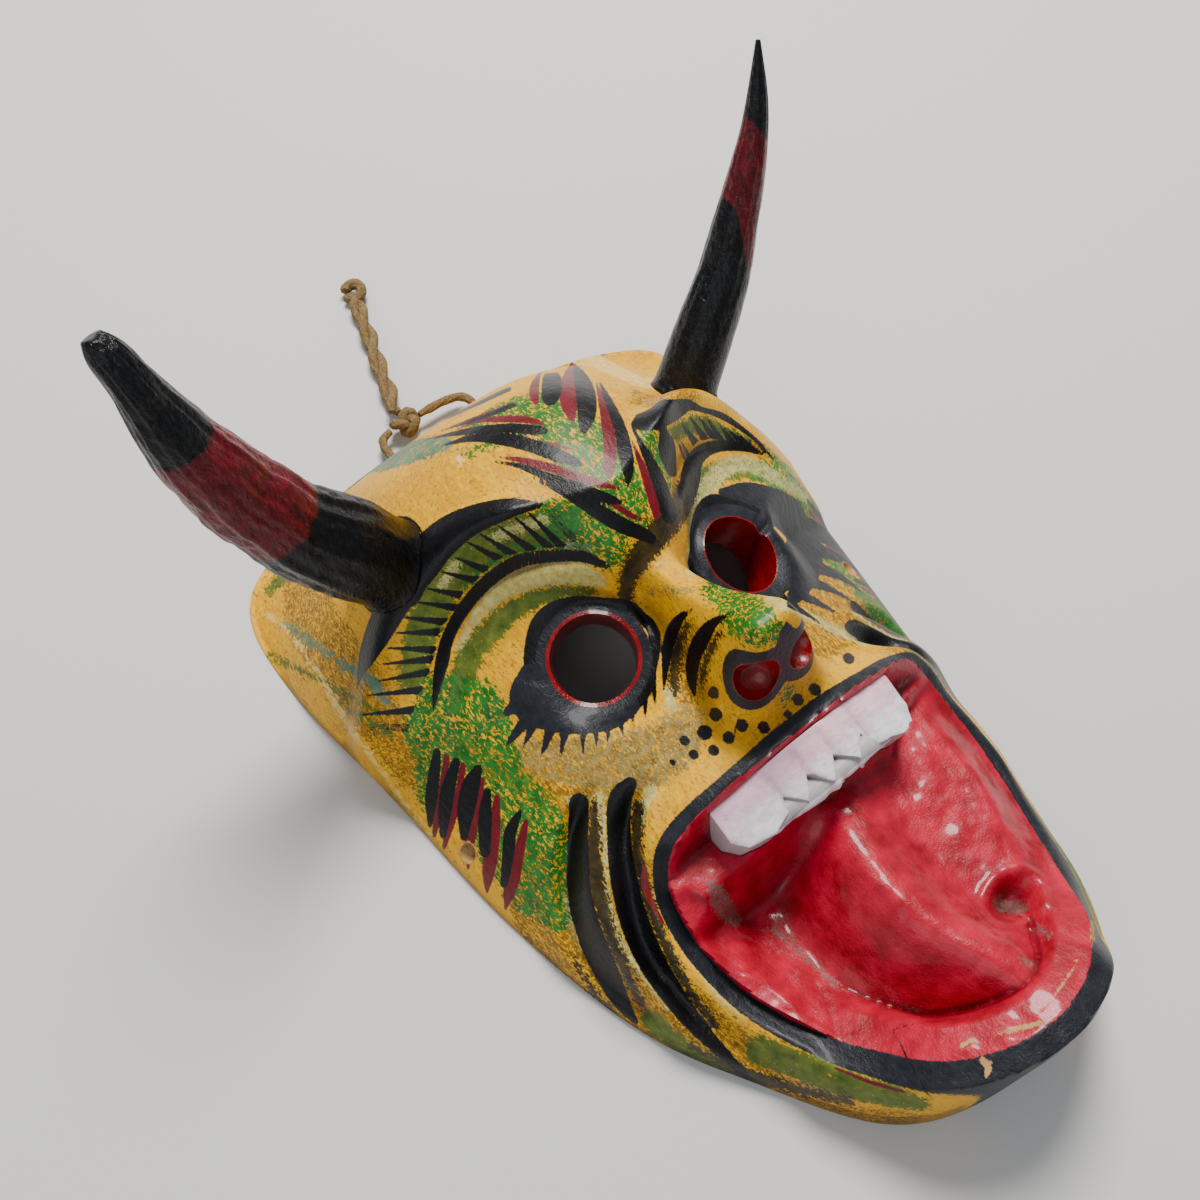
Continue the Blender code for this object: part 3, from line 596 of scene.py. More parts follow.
def gouged_hollow(x, y, u, v):
    "height of the hollow back's roof, with the gouge's marks"
    t = np.clip(np.abs(u), 0, 1)
    z = through(HOLLOW, y) * (1 - t ** 2.2) ** 0.8 * (1 - np.clip(np.abs(v), 0, 1) ** 16)
    return z + 0.5 * lumps(x * 0.9, y * 0.35, 5, 6) * np.clip(z / 8, 0, 1)


def rod(name, start, end, r_start, r_end, sides, rings):
    "a cone or cylinder from one point to another, mm, in short lengths so that the cut wall is fine"
    a, b = np.array(start, float), np.array(end, float)
    line = a + (b - a) * np.linspace(0, 1, rings + 1)[:, None]
    at = along_line(line)

    def place(turn, along):
        p, side, up = at(along)
        return swung(p, side, up, turn * 2 * np.pi, r_start + (r_end - r_start) * along)
    return rolled(name, sides, rings, place)


def horn_line(side, count):
    mirror = -1 if side == "left" else 1
    return spline([(x * mirror, y, z) for x, y, z in HORN_LINE + HORN_TIP[side]], count)


def horn_shape(side, rings, grow=0.0, rough=None):
    "a horn as rolled() wants it; grow makes its socket"
    line = horn_line(side, rings + 1)
    if grow:
        line[0] += (line[0] - line[1]) / np.linalg.norm(line[0] - line[1]) * grow
    at = along_line(line)

    def place(turn, along):
        p, sideways, up = at(along)
        a = turn * 2 * np.pi
        r = through(HORN_RADII[side], along)
        if rough and side == "left":
            r = r * through(HORN_SWELL, along)
        r = r + grow
        if rough:
            r = r + rough(p, a, along, r)
        return swung(p, sideways, up, a, r)
    return place


def tooth_bar(name, grow=0.0):
    "a bar with a tooth-edged front, its section taken at stations across the mouth"
    bare()
    bpy.ops.mesh.primitive_cube_add(size=2)
    obj = fresh(name)
    with editing("DESELECT"):
        bpy.ops.mesh.select_mode(type="EDGE")
    for e in obj.data.edges:
        a, b = (obj.data.vertices[i].co for i in e.vertices)
        e.select = abs(a.x - b.x) > 1
    bpy.ops.object.mode_set(mode="EDIT")
    bpy.ops.mesh.subdivide(number_cuts=len(TEETH) - 2)
    bpy.ops.mesh.select_mode(type="VERT")
    bpy.ops.object.mode_set(mode="OBJECT")
    co = corners(obj)
    out = co.copy()
    for i, (cx, cy, cz) in enumerate(co):
        k = int(round((cx + 1) / 2 * (len(TEETH) - 1)))
        x, ty, tz = TEETH[k]
        if k in (0, len(TEETH) - 1):
            x += grow * np.sign(x)
        root = 56.5 - 0.0042 * x * x
        if cz > 0:
            out[i] = (x, ty - grow, tz + grow) if cy < 0 else (x, -30.6 + grow, root + grow)
        else:
            out[i] = (x, min(ty + 3.5, -38) - grow, 31.5 - grow) if cy < 0 else (x, -30.6 + grow, 32.5 - grow)
    set_corners(obj, to_metres(out))
    return obj


def rim_inward():
    "at each point of the rim, the direction square to it and toward the face's middle"
    edge = RIM - np.roll(RIM, 1, 0)
    normal = np.stack([-edge[:, 1], edge[:, 0]], 1)
    normal /= np.linalg.norm(normal, axis=1)[:, None]
    return normal * np.sign(((np.array(FACE_MIDDLE) - RIM) * normal).sum(1))[:, None]


def carve_face():
    "the carved block with its hollow, eyes, nostrils, sockets and holes cut"
    mask = domed_block("carved_face", (244, 336), RIM, carved_height, 0.4, 0.0, 0.25)
    tools = bpy.data.collections.new("gouges")
    bpy.context.scene.collection.children.link(tools)
    cuts = [domed_block("hollow", (56, 80), RIM + rim_inward() * RIM_WALL, gouged_hollow, 2.0, 8.0, 0.35)]
    for side, name in SIDES:
        ring, lean = eye_axis(side)
        ends, radii = (ring + lean * reach for reach in EYE_CUT), (EYE_HOLE + taper for taper in EYE_TAPER)
        cuts.append(rod("eye", *ends, *radii, 72, 56))
        place, tilt = (NOSTRIL[0] * side, NOSTRIL[1], NOSTRIL[2]), Matrix.Rotation(NOSTRIL_TILT, 4, "X")
        cuts.append(ball("nostril", 48, 32, placed(place, NOSTRIL_SIZE, tilt)))
        cuts.append(rolled("socket", 40, 24, horn_shape(name, 24, 0.3)))
    for x, y in TIE_HOLE:
        s = 1 if x > 0 else -1
        cuts.append(rod("tie", (x - 26 * s, y, TIE_HOLE_HEIGHT), (x + 16 * s, y, TIE_HOLE_HEIGHT),
                        TIE_HOLE_RADIUS, TIE_HOLE_RADIUS, 32, 42))
    for x in ROPE_HOLES:
        cuts.append(rod("rope", (x, 150, 5.0), (x, 190, 5.0), ROPE_HOLE_RADIUS, ROPE_HOLE_RADIUS, 24, 20))
    cuts.append(tooth_bar("seat", 0.3))
    for c in cuts:
        for home in list(c.users_collection):
            home.objects.unlink(c)
        tools.objects.link(c)
    take(mask)
    for c in cuts:
        m = mask.modifiers.new(c.name, "BOOLEAN")
        m.operation, m.solver, m.object = "DIFFERENCE", "MANIFOLD", c
        apply(mask)
    for c in cuts:
        bpy.data.objects.remove(c, do_unlink=True)
    bpy.data.collections.remove(tools)
    return mask


mask = carve_face()
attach(mask, "root")
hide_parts("mask_body")


# from places in the picture to the carving
def sight(places):
    "where the lines of sight through places in the picture meet the carved front, and mm per mark there"
    at = np.array(places, float)
    ray = (AHEAD + RIGHTWARD * ((at[:, 0:1] - VIEW / 2) / VIEW_LENS)
           + UPWARD * ((VIEW / 2 - at[:, 1:2]) / VIEW_LENS))
    z = np.linspace(125, 0, 180)
    step = (z[None, :] - VIEW_FROM[2]) / ray[:, 2:3]
    x, y = (VIEW_FROM[j] + ray[:, j:j + 1] * step for j in (0, 1))
    gap = z[None, :] - face(x.ravel(), y.ravel()).reshape(x.shape)
    gap[:, -1] = -1.0
    k = np.clip(np.argmax(gap <= 0, axis=1), 1, None)
    row = np.arange(len(at))
    share = np.clip(gap[row, k - 1] / (gap[row, k - 1] - gap[row, k]), 0, 1)
    reach = step[row, k - 1] + (step[row, k] - step[row, k - 1]) * share
    return VIEW_FROM + ray * reach[:, None], reach / VIEW_LENS


# the horns
def horn(side):
    "a horn with its brushed ridges and the collar of paint at its foot"
    def rough(p, a, along, r):
        mirror = -1 if side == "left" else 1
        wander = 0.5 * np.sin(along * 7 + mirror)
        ridges = (0.30 * np.cos(9 * a + wander * 3) + 0.22 * np.cos(16 * a - 4 * along)
                  + 0.12 * np.cos(27 * a + 9 * along))
        amount = smooth(0.1, 0.3, along) * (1 if side == "left" else 0.45) * r / 12
        blister = 0.3 * lumps(a * 9, along * 60, 1.6, 11)
        return (ridges + blister) * amount
    sides, rings = (96, 190) if side == "left" else (80, 170)
    obj = rolled("horn_%s_lacquered" % side, sides, rings, horn_shape(side, rings, 0.0, rough))
    co = to_plan(corners(obj))
    gap = co[:, 2] - face(co[:, 0], co[:, 1])
    line = horn_line(side, 200)
    near = line[np.argmin(((co[:, None, :] - line[None, :, :]) ** 2).sum(2), 1)]
    out = co - near
    out /= np.maximum(np.linalg.norm(out, axis=1), 1e-6)[:, None]
    flare = 1.3 * smooth(-0.6, 0.4, gap) * np.exp(-np.maximum(gap, 0) / 2.6)
    flare = flare * (1 + 0.35 * lumps(co[:, 0] + co[:, 2], co[:, 1], 6, 12))
    co = co + out * flare[:, None]
    if side == "left":
        co[:, 0] += through([(105, 0), (125, 0.6), (140, 1.8), (160, 2.2), (169, 1.4)], co[:, 2])
    co[:, 0] = np.maximum(co[:, 0], -HORN_REACH)
    co[:, 2] = np.minimum(co[:, 2], HORN_TOP)
    set_corners(obj, to_metres(co))
    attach(obj, "root")
    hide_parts("horn_" + side)
    return obj


horns = {side: horn(side) for side in ("left", "right")}


# the teeth
def teeth_row():
    "the strip of teeth, swollen and parted by the knife"
    obj = tooth_bar("teeth_row")
    m = obj.modifiers.new("round", "BEVEL")
    m.width, m.segments, m.limit_method, m.angle_limit = 0.55 * MM, 2, "ANGLE", 0.35
    apply(obj)
    take(obj)
    with editing():
        bpy.ops.mesh.quads_convert_to_tris()
        bpy.ops.mesh.subdivide(number_cuts=3)
        bpy.ops.mesh.subdivide(number_cuts=1)
        bpy.ops.mesh.normals_make_consistent(inside=False)
    co = to_plan(corners(obj))
    x, y = co[:, 0], co[:, 1]
    front = smooth(-30.6, -36, y) * smooth(40, 46, co[:, 2])
    swell = sum(rise * bell(x - at, wide) for at, rise, wide in
                ((-26, 1.5, 8), (27, 1.3, 8), (-12, 0.5, 4), (-1, 0.5, 4), (10, 0.5, 4)))
    parted = sum(bell(x - at, 1.1) for at in (-17.6, -6.6, 4.4, 17.0))
    co[:, 2] += front * (swell - 1.5 * parted + 0.45 * lumps(x, y, 3.2, 21) + 0.25 * lumps(x, y, 1.4, 22))
    co[:, 1] += 0.5 * lumps(x, co[:, 2], 3.0, 23) * front
    set_corners(obj, to_metres(co))
    return obj


DROP_PLACES = [(807, 797), (813, 800), (848, 771), (857, 764), (862, 766), (842, 781)]   # in the picture
DROP_SIZES = (1.9, 1.2, 1.5, 1.1, 0.8, 0.9)


def squeezed_filler():
    "the white filler that was pushed up behind the notches, with the drops that fell below it"
    def place(turn, along):
        a = turn * 2 * np.pi
        x = -30 + 60 * along
        r = 1 + 0.22 * lumps(along * 60, np.sin(a) * 2 + 5, 3.0, 31)
        shut = np.sqrt(np.clip(1 - (2 * along - 1) ** 8, 0.02, 1))
        y = -43.6 - 0.9 * bell(x, 12) + np.cos(a) * 3.9 * r * shut
        return np.stack([x, y, 47.3 + np.sin(a) * 3.3 * r * shut], 1)
    bead = rolled("tooth_filler", 40, 150, place)
    spots, _ = sight(DROP_PLACES)
    drops = [ball("drop", 20, 12, placed(spot + np.array([0, 0, size * 0.2]), (size, size * 0.8, size * 0.7)))
             for spot, size in zip(spots, DROP_SIZES)]
    joined([bead] + drops)
    co = to_plan(corners(bead))
    give(bead, "gum", np.full(len(co), 0.35))
    # front: the filler's lower side, which the paint greys as painted shade
    give(bead, "front", np.where(co[:, 2] > 40, smooth(-48.5, -46.0, co[:, 1]), 0.0))
    return bead


teeth = teeth_row()
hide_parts("upper_teeth")
filler = squeezed_filler()
for piece in (teeth, filler):
    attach(piece, "root")


# the painter's marks, with the painted shade, highlights and reflection among them, as places across, down
# and width in the picture: commas between places, semicolons between strokes. Each colour has the strokes
# that are seen, then those painted alike on both halves. Where they fall on the carving is worked out
MARKS = {
    "ink": (
        # forehead, left fan and right fan
        "441 421 1, 470 407 6, 495 395 8, 509 389 5; 441 431 1, 480 418 4, 514 405 5; 427 439 1, 470 431 7, "
        "505 428 9, 535 430 10, 545 431 6; 441 446 1, 473 438 8, 501 439 13, 529 445 14, 557 455 14, "
        "575 462 9, 583 465 2; 490 461 1, 520 466 6, 548 477 9, 585 491 13, 612 500 9, 625 503 2; "
        "533 479 1, 557 489 7, 585 504 13, 604 515 16, 623 526 16, 640 533 14, 652 539 10; 551 374 14, "
        "552 382 20, 551 394 20, 549 400 11; 574 364 2, 581 378 14, 586 395 20, 587 412 19, 585 424 14, "
        "583 433 3; 600 383 2, 609 402 8, 619 425 12, 625 450 15, 628 470 12, 628 486 2; 631 425 1, "
        "641 444 6, 653 468 12, 663 492 15, 670 515 17; "
        # left brow
        "546 505 3, 510 508 20, 470 521 30, 441 540 37, 420 565 39, 402 590 34, 391 610 30, 377 634 28, "
        "367 655 20, 360 676 6, 357 690 1; 610 568 5, 595 561 10, 580 556 12, 550 556 13, 520 561 14, "
        "497 574 14, 476 593 14, 459 616 13, 447 640 13, 442 662 14, 437 685 9, 433 710 2; "
        # right brow
        "636 424 10, 648 419 24, 660 414 28, 673 410 22, 688 405 12, 700 409 6, 722 416 7, 742 429 5, "
        "758 442 4, 774 460 2; 664 434 10, 667 445 18, 670 458 22, 672 468 18; 762 454 3, 742 447 9, "
        "719 446 12, 702 452 16, 693 464 18, 690 480 20, 686 496 18",
        "640 616 12, 628 607 14, 600 603 12, 576 603 14, 555 610 18, 541 625 22, 535 650 22, 535 680 24; "
        "640 616 12, 652 628 12, 655 645 12, 652 668 10, 645 690 14, 630 706 18; 691 610 3, 680 618 9, "
        "672 632 13, 667 652 11, 665 672 6, 664 690 2; 730 614 2, 713 623 10, 701 640 17, 693 660 14, "
        "692 680 10, 695 697 2; 437 752 8, 434 775 12, 431 800 12, 430 825 5; 456 762 9, 449 785 14, "
        "445 810 14, 443 835 7; 478 769 9, 471 785 18, 466 810 18, 464 837 8; 487 792 8, 485 818 14, "
        "485 852 11; 520 812 5, 511 830 12, 508 856 12, 504 884 8; 579 803 20, 578 850 21, 580 900 26, "
        "592 940 26, 608 975 24, 622 1003 16, 636 1022 5; 630 784 14, 620 800 24, 619 840 24, 624 880 27, "
        "634 920 29, 651 960 28, 673 995 24, 692 1020 20, 715 1045 14, 742 1072 8, 760 1088 2; 643 680 8, "
        "645 700 6, 645 720 1; 652 664 8, 654 690 5, 656 710 1"),
    # slate: black paint lightened to a bluish grey where the sky's reflection is painted on it, about the
    # eyes, the nostrils and the lip
    "slate": (
        "768 512 16, 786 528 20, 797 552 20, 797 575 18; 722 492 8, 745 492 20, 770 500 26, 792 515 30, "
        "806 540 32, 806 572 28, 795 596 16; 806 528 22, 835 540 10, 858 552 2; 812 548 16, 838 558 8, "
        "862 574 1; 815 566 14, 842 578 6, 862 592 1; 812 582 12, 836 592 5, 856 604 1; 804 596 10, "
        "824 606 5, 842 616 1; 790 604 8, 808 615 4, 824 626 1; 790 642 30, 788 632 14, 787 621 2; "
        "530 676 24, 532 700 44, 556 716 32, 585 720 28, 612 717 24, 630 706 20; 516 706 16, 507 712 9; "
        "524 722 11, 514 736 8, 505 748 1; 536 716 14, 529 734 7, 522 750 1; 554 718 16, 547 740 8, "
        "540 759 1; 568 722 14, 563 742 6, 560 758 1; 583 724 10, 583 742 4, 583 754 1; 596 724 9, "
        "596 738 4, 597 748 1; 608 722 8, 608 734 4, 608 744 1; 620 718 8, 622 730 3, 623 740 1; 631 708 8, "
        "633 720 3, 634 728 1",),
    "ox": (
        "450 427 1, 485 414 3, 513 404 3; 455 430 1, 479 421 4, 510 419 7, 535 421 6, 543 425 3; 529 439 1, "
        "555 445 4, 577 452 1; 497 457 1, 520 460 6, 548 467 9, 585 479 9, 612 487 5, 623 489 2; 553 481 1, "
        "585 491 5, 613 504 6, 632 516 6, 647 521 2; 540 373 2, 535 385 9, 534 395 10, 536 402 6; "
        "572 363 2, 569 380 15, 568 395 18, 570 410 14, 573 420 4; 596 383 1, 601 397 7, 607 420 12, "
        "610 450 13, 609 468 12, 609 476 6; 631 438 1, 640 461 6, 650 487 11, 656 508 11, 657 518 5; "
        "835 1068 2, 870 1082 4, 905 1092 3",
        "447 756 6, 443 785 8, 439 810 10, 434 836 4; 463 765 6, 459 792 8, 451 820 10, 444 848 4; "
        "482 780 6, 476 809 10, 470 840 11, 468 868 3; 497 797 6, 494 830 13, 489 868 14, 487 892 3; "
        "526 822 6, 519 852 11, 511 884 15, 505 912 1"),
    "umber": (
        "690 478 20, 683 500 26, 668 522 28, 652 542 27, 638 560 24, 628 580 20, 625 600 14",
        "690 1046 6, 760 1078 12, 850 1102 10; 640 1040 4, 700 1076 8, 770 1104 8; 575 960 4, 600 1000 8, "
        "640 1040 6; 594 806 10, 594 860 18, 600 900 18, 612 940 14, 628 975 12, 642 1005 8; 638 806 12, "
        "637 850 14, 645 890 14, 657 925 12, 672 960 12, 692 995 10, 715 1025 10; 687 623 8, 677 650 12, "
        "674 672 14, 675 692 8; 719 634 7, 708 655 9, 702 680 8"),
    "leaf": (
        "604 554 10, 565 546 14, 525 550 12, 492 564 10, 468 584 8; 475 424 12, 510 408 26, 545 410 40, "
        "575 440 60, 600 470 64, 625 500 44, 640 520 20; 550 512 24, 575 528 56, 605 545 46; 646 430 12, "
        "658 460 18, 668 485 16; 462 455 6, 520 434 6; 715 588 24, 735 603 34, 750 620 46, 772 630 24; "
        "756 478 5, 780 486 7, 801 499 8, 822 520 9, 850 552 14; 790 690 8, 784 700 5; 696 458 6, "
        "700 470 6; 690 540 8, 700 530 6",
        "455 690 34, 450 725 50, 465 755 54, 500 780 40, 535 820 50, 552 870 50, 558 905 50; 428 680 12, "
        "424 705 18, 415 725 24, 430 760 30, 425 800 16; 480 700 40, 505 760 30; 460 790 30, 500 850 40, "
        "530 900 30"),
    "moss": (
        "566 524 30, 530 532 38, 500 541 38, 470 555 38, 450 576 40, 435 602 38, 424 626 36, 418 650 32, "
        "410 680 24; 676 432 16, 700 425 20, 722 433 16, 748 441 10; 340 690 5, 376 713 6; 335 702 5, "
        "390 734 7; 270 655 6, 320 680 6, 350 700 5; 880 600 10, 905 640 8, 940 690 6; 300 560 14, "
        "270 590 10",
        "590 592 12, 560 592 14, 530 602 20, 505 617 24, 488 634 26, 472 652 28, 462 680 26, 455 705 16; "
        "760 1050 30, 850 1085 30, 920 1105 20; 650 1020 20, 700 1060 20, 760 1090 24"),
    "teal": (
        "340 664 7, 361 675 9, 376 687 12, 388 704 6; 352 478 26, 395 456 34, 445 444 14; 570 352 6, "
        "600 352 10; 285 625 8, 330 655 7; 500 566 3, 480 584 4, 462 606 4; 568 545 8, 590 548 6; "
        "758 466 5, 790 486 5",),
    # cream: pale cream-gold along the crests of the eye ridges, the nose and the cheek folds, partly
    # dry-brushed gold and partly a painted highlight on the crests
    "cream": (
        "604 584 8, 580 574 20, 550 573 24, 522 580 22, 500 592 18, 484 607 13, 470 626 9, 458 650 5; "
        "545 520 10, 520 528 11, 495 538 10; 456 565 10, 441 586 7; 692 572 8, 693 545 12, 699 512 16, "
        "708 488 18, 720 472 18, 740 463 16, 765 471 12, 790 487 9, 807 500 5; 770 600 8, 800 612 6, "
        "860 640 8, 900 640 10",
        "650 792 12, 642 812 9, 640 830 4; 600 795 8, 604 850 5, 607 890 4, 617 932 6, 632 960 5, "
        "650 985 4, 668 1008 3; 653 890 2, 668 920 3, 684 945 4, 705 975 5, 722 1000 4, 745 1022 2; "
        "566 895 2, 572 925 3, 582 950 2; 668 690 10, 672 706 10; 568 800 3, 590 798 4"),
    "dust": (
        "530 752 24, 560 762 40, 610 762 54, 660 752 56, 690 720 30; 690 590 4, 650 592 4; 865 600 18, "
        "890 625 14",),
    # shade: darker brown over the temples, the far cheek past the nose, the jaw and the chin, partly an
    # antique wash and partly painted shade where the face turns from the light
    "shade": (
        "300 560 40, 310 620 60, 360 690 50, 410 770 30; 860 600 30, 930 680 20; 800 600 20, 860 620 50; "
        "640 400 20, 690 396 16",
        "520 860 40, 560 960 60, 640 1050 60, 760 1110 50, 900 1120 40; 600 780 40, 612 860 60, 625 950 60, "
        "680 1010 50, 760 1070 40; 540 770 60, 620 770 60, 680 740 40; 690 640 30, 690 690 26; 450 740 16, "
        "560 800 30"),
    # scuff: pale wear and a white chip on the forehead, and a pale line along the lower left rim's edge
    "scuff": (
        "575 356 12, 610 368 22, 640 382 24, 672 384 16; 460 458 5, 459 463 4; 262 610 3, 300 645 3, "
        "350 728 5, 400 800 4, 432 838 3; 728 396 6, 745 420 4",),
    "grey": (
        "712 885 12, 722 905 18, 735 920 12; 1040 928 5, 1048 936 5; 1024 960 6, 1030 965 5; 1000 905 12, "
        "1022 908 12; 770 925 3, 800 952 3, 835 985 3",),
    "wood": (
        "998 1034 3, 1020 1028 5, 1042 1023 4; 983 1060 7, 989 1067 9, 986 1076 3; 962 1046 4, 972 1040 5; "
        "1078 958 2, 1068 976 2, 1054 996 2; 1092 922 4, 1093 940 4",),
    "crack": (
        "893 1030 1.4, 903 1050 2, 912 1066 2, 925 1090 2, 936 1102 1.4; 892 1030 1.2, 905 1026 1.4, "
        "914 1024 1",),
    "blood": (
        "645 868 5, 645 885 8, 652 903 6, 665 926 2",),
}
DOTS = (
    "713 692 10, 715 714 11, 741 725 11, 763 727 10, 704 732 12, 728 737 10, 684 740 8, 713 750 9, "
    "693 754 8, 672 762 5, 787 714 7, 797 699 10, 814 689 10, 848 658 9")
# comb strokes under the brows: across and down of the top, then of the foot
COMBS = (
    "544 510 575 540, 528 512 562 547, 516 518 549 547, 500 527 532 550, 480 534 512 554, 468 542 498 558, "
    "456 558 486 570, 442 572 476 580, 428 589 460 595, 418 602 458 608, 402 617 444 622, 397 633 438 632, "
    "388 648 434 650, 384 664 432 659, 380 681 428 672, 368 695 420 690, 362 715 412 710, 355 725 408 728; "
    "748 438 764 454, 738 433 753 450, 729 430 742 442, 719 422 732 442, 707 417 722 442, 699 417 714 438, "
    "690 417 705 439, 681 423 695 442, 674 430 687 458")
FAR = 12.0                  # mm, as far from a mark as its distance is kept
LIP_LINE = [(-180, 6.0), (-150, 7.0), (-100, 9.0), (-60, 8.0), (-20, 6.0), (20, 4.6), (60, 4.4), (120, 4.4),
            (160, 5.0), (180, 6.0)]     # degrees round the mouth, width of the black line there in mm
STROKE_STEP = 6             # marks between the points that a stroke is worked out at


def strokes(text):
    "the places of each stroke in a text of marks"
    return [[tuple(map(float, place.split())) for place in stroke.split(",")] for stroke in text.split(";")]


def seen(points):
    "where points fall in the picture, and mm per mark there"
    off = points - VIEW_FROM
    reach = off @ AHEAD
    return np.stack([VIEW / 2 + VIEW_LENS * (off @ RIGHTWARD) / reach,
                     VIEW / 2 - VIEW_LENS * (off @ UPWARD) / reach], 1), reach / VIEW_LENS


def strokes_on(views, one, both=()):
    "distance in mm from the strokes' edges, negative inside them; the second view is the face mirrored"
    one, both = list(one), list(both)
    field = np.full(len(views[0][0]), FAR)
    fine = [spline(s, max(2, int(line_length(np.array(s)[:, :2]) / STROKE_STEP) + 1)) for s in one + both]
    where, scale = sight(np.vstack(fine)[:, :2])
    start = 0
    for i, s in enumerate(fine):
        q, half_mark = where[start:start + len(s)], s[:, 2] / 2
        half = half_mark * scale[start:start + len(s)]
        start += len(s)
        for points, places, scales, rows in (views if i >= len(one) else views[:1]):
            near = np.all((points > q.min(0) - FAR) & (points < q.max(0) + FAR), axis=1).nonzero()[0]
            gap = []
            for v, w, h in ((points[near], q, half), (places[near], s[:, :2], half_mark)):
                a, ab = w[:-1], np.diff(w, axis=0)
                t = np.clip(((v[:, None] - a) * ab).sum(2) / np.maximum((ab ** 2).sum(1), 1e-9), 0, 1)
                gap.append((np.linalg.norm(v[:, None] - a - ab * t[..., None], axis=2)
                            - (h[:-1] + np.diff(h) * t)).min(1))
            hit = rows[near]
            field[hit] = np.minimum(field[hit], np.maximum(gap[1] * scales[near], gap[0] - 3.0))
    return field


def comb_fields(places, scales, facing):
    "across the hollow under each brow: which comb stroke is nearest, how far down it, how wide the gap"
    number, down, gap = np.full(len(places), 0.5), np.full(len(places), 3.0), np.full(len(places), 9.0)
    for comb in strokes(COMBS):
        top = np.array(comb)[:, :2]
        run = np.array(comb)[:, 2:] - top
        size = np.linalg.norm(run, axis=1)
        off = places[:, None] - top
        away = (run[:, 0] * off[..., 1] - run[:, 1] * off[..., 0]) / size
        reach = (off * run).sum(2) / size ** 2
        for k in range(-1, len(comb)):
            a, b = max(k, 0), min(k + 1, len(comb) - 1)
            wide = np.abs(away[:, a] - away[:, b]) if a != b else np.full(len(places), 14.0)
            here = (facing & ((away[:, a] >= 0) | (k < 0)) & ((away[:, b] < 0) | (k == len(comb) - 1))
                    & (np.abs(away[:, a]) < np.where(a == b, 7, 40)) & (np.abs(reach[:, a] - 0.5) < 0.9))
            share = np.abs(away[:, a]) / np.maximum(wide, 1e-6)
            number[here] = (k + share)[here] if a != b else (share + 40)[here]
            down[here] = (reach[:, a] + (reach[:, b] - reach[:, a]) * np.clip(share, 0, 1))[here]
            gap[here] = (wide * scales)[here]
    return number, down, gap


def paint_fields(obj):
    "what the painter put where, as distances from each colour's edge"
    p = to_plan(corners(obj))
    x, y = p[:, 0], p[:, 1]
    z0 = face(x, y)
    rows = np.arange(len(p))
    half = rows[x > 2]
    twin = p[half] * [-1, 1, 1] + np.stack([0 * half, 0 * half, face(-x[half], y[half]) - z0[half]], 1)
    views = [(p, *seen(p), rows), (twin, *seen(twin), half)]
    lip = lip_distance(x, y)
    turn = np.degrees(np.arctan2(y - MOUTH_MIDDLE[1], x))
    width = np.interp(turn, *zip(*LIP_LINE))
    marks = {name: strokes_on(views, *map(strokes, texts)) for name, texts in MARKS.items()}
    dots = [[(a, b, wide * 1.2), (a + 1.5, b + 1, wide * 1.2)] for a, b, wide in strokes(DOTS)[0]]
    marks["ink"] = np.minimum(marks["ink"], strokes_on(views, dots))
    marks["mouth"] = np.clip(-0.8 - lip, -FAR, FAR)
    # the lip's black line, painted with the sky's reflection on it
    marks["slate"] = np.minimum(marks["slate"], np.abs(lip + width / 2) - width / 2)
    for side, name in SIDES:
        ring, lean = eye_axis(side)
        off = p - ring
        along = off @ lean
        share = (along - EYE_CUT[0]) / (EYE_CUT[1] - EYE_CUT[0])
        wide = EYE_HOLE + EYE_TAPER[0] + (EYE_TAPER[1] - EYE_TAPER[0]) * share
        reach = np.linalg.norm(off - along[:, None] * lean, axis=1) - wide
        marks["blood"] = np.minimum(marks["blood"], reach - (1.3 if side < 0 else 0.4))
        # black round each eye, painted with the sky's reflection on it
        marks["slate"] = np.minimum(marks["slate"], reach - (4.4 if side < 0 else 5.6))
        off = p - [NOSTRIL[0] * side, NOSTRIL[1], NOSTRIL[2]]
        c, s = math.cos(NOSTRIL_TILT), math.sin(NOSTRIL_TILT)
        pit = np.stack([off[:, 0], off[:, 1] * c + off[:, 2] * s, off[:, 2] * c - off[:, 1] * s], 1)
        deep = np.linalg.norm(pit / NOSTRIL_SIZE, axis=1)
        marks["blood"] = np.minimum(marks["blood"], (deep - 1.03) * 7)
        marks["slate"] = np.minimum(marks["slate"], np.linalg.norm(off, axis=1) - 12.2)
        foot = horn_line(name, 60)[:12]
        reach = np.linalg.norm(p[:, None, :] - foot, axis=2).min(1)
        marks["ink"] = np.minimum(marks["ink"], reach - HORN_RADII[name][0][1] - (1.6 if side < 0 else 0.9))
    for hx, hy in TIE_HOLE:
        bared = np.hypot(y - hy, p[:, 2] - TIE_HOLE_HEIGHT) - TIE_HOLE_RADIUS - 0.35
        marks["wood"] = np.minimum(marks["wood"], np.where(np.sign(x) == np.sign(hx), bared, FAR))
    facing = (kept(obj.data.vertices, "normal") * (VIEW_FROM - p)).sum(1) > 0
    for name, field in zip(("comb", "comb_down", "comb_gap"), comb_fields(*seen(p), facing)):
        give(obj, name, field)
    # how far the carving dips at each point; the paint darkens the hollows with it as painted shade
    cup = sum(face(x + a, y + b) for a, b in ((2.2, 0), (-2.2, 0), (0, 2.2), (0, -2.2))) / 4 - z0
    for name, field in marks.items():
        give(obj, name, np.clip(field, -FAR, FAR))
    give(obj, "cup", np.clip(cup, -1.5, 1.5))


# finishes
def srgb(r, g, b):
    "a colour as a screen has it, 0-255, in linear light"
    return tuple(((c / 255 + 0.055) / 1.055) ** 2.4 for c in (r, g, b))


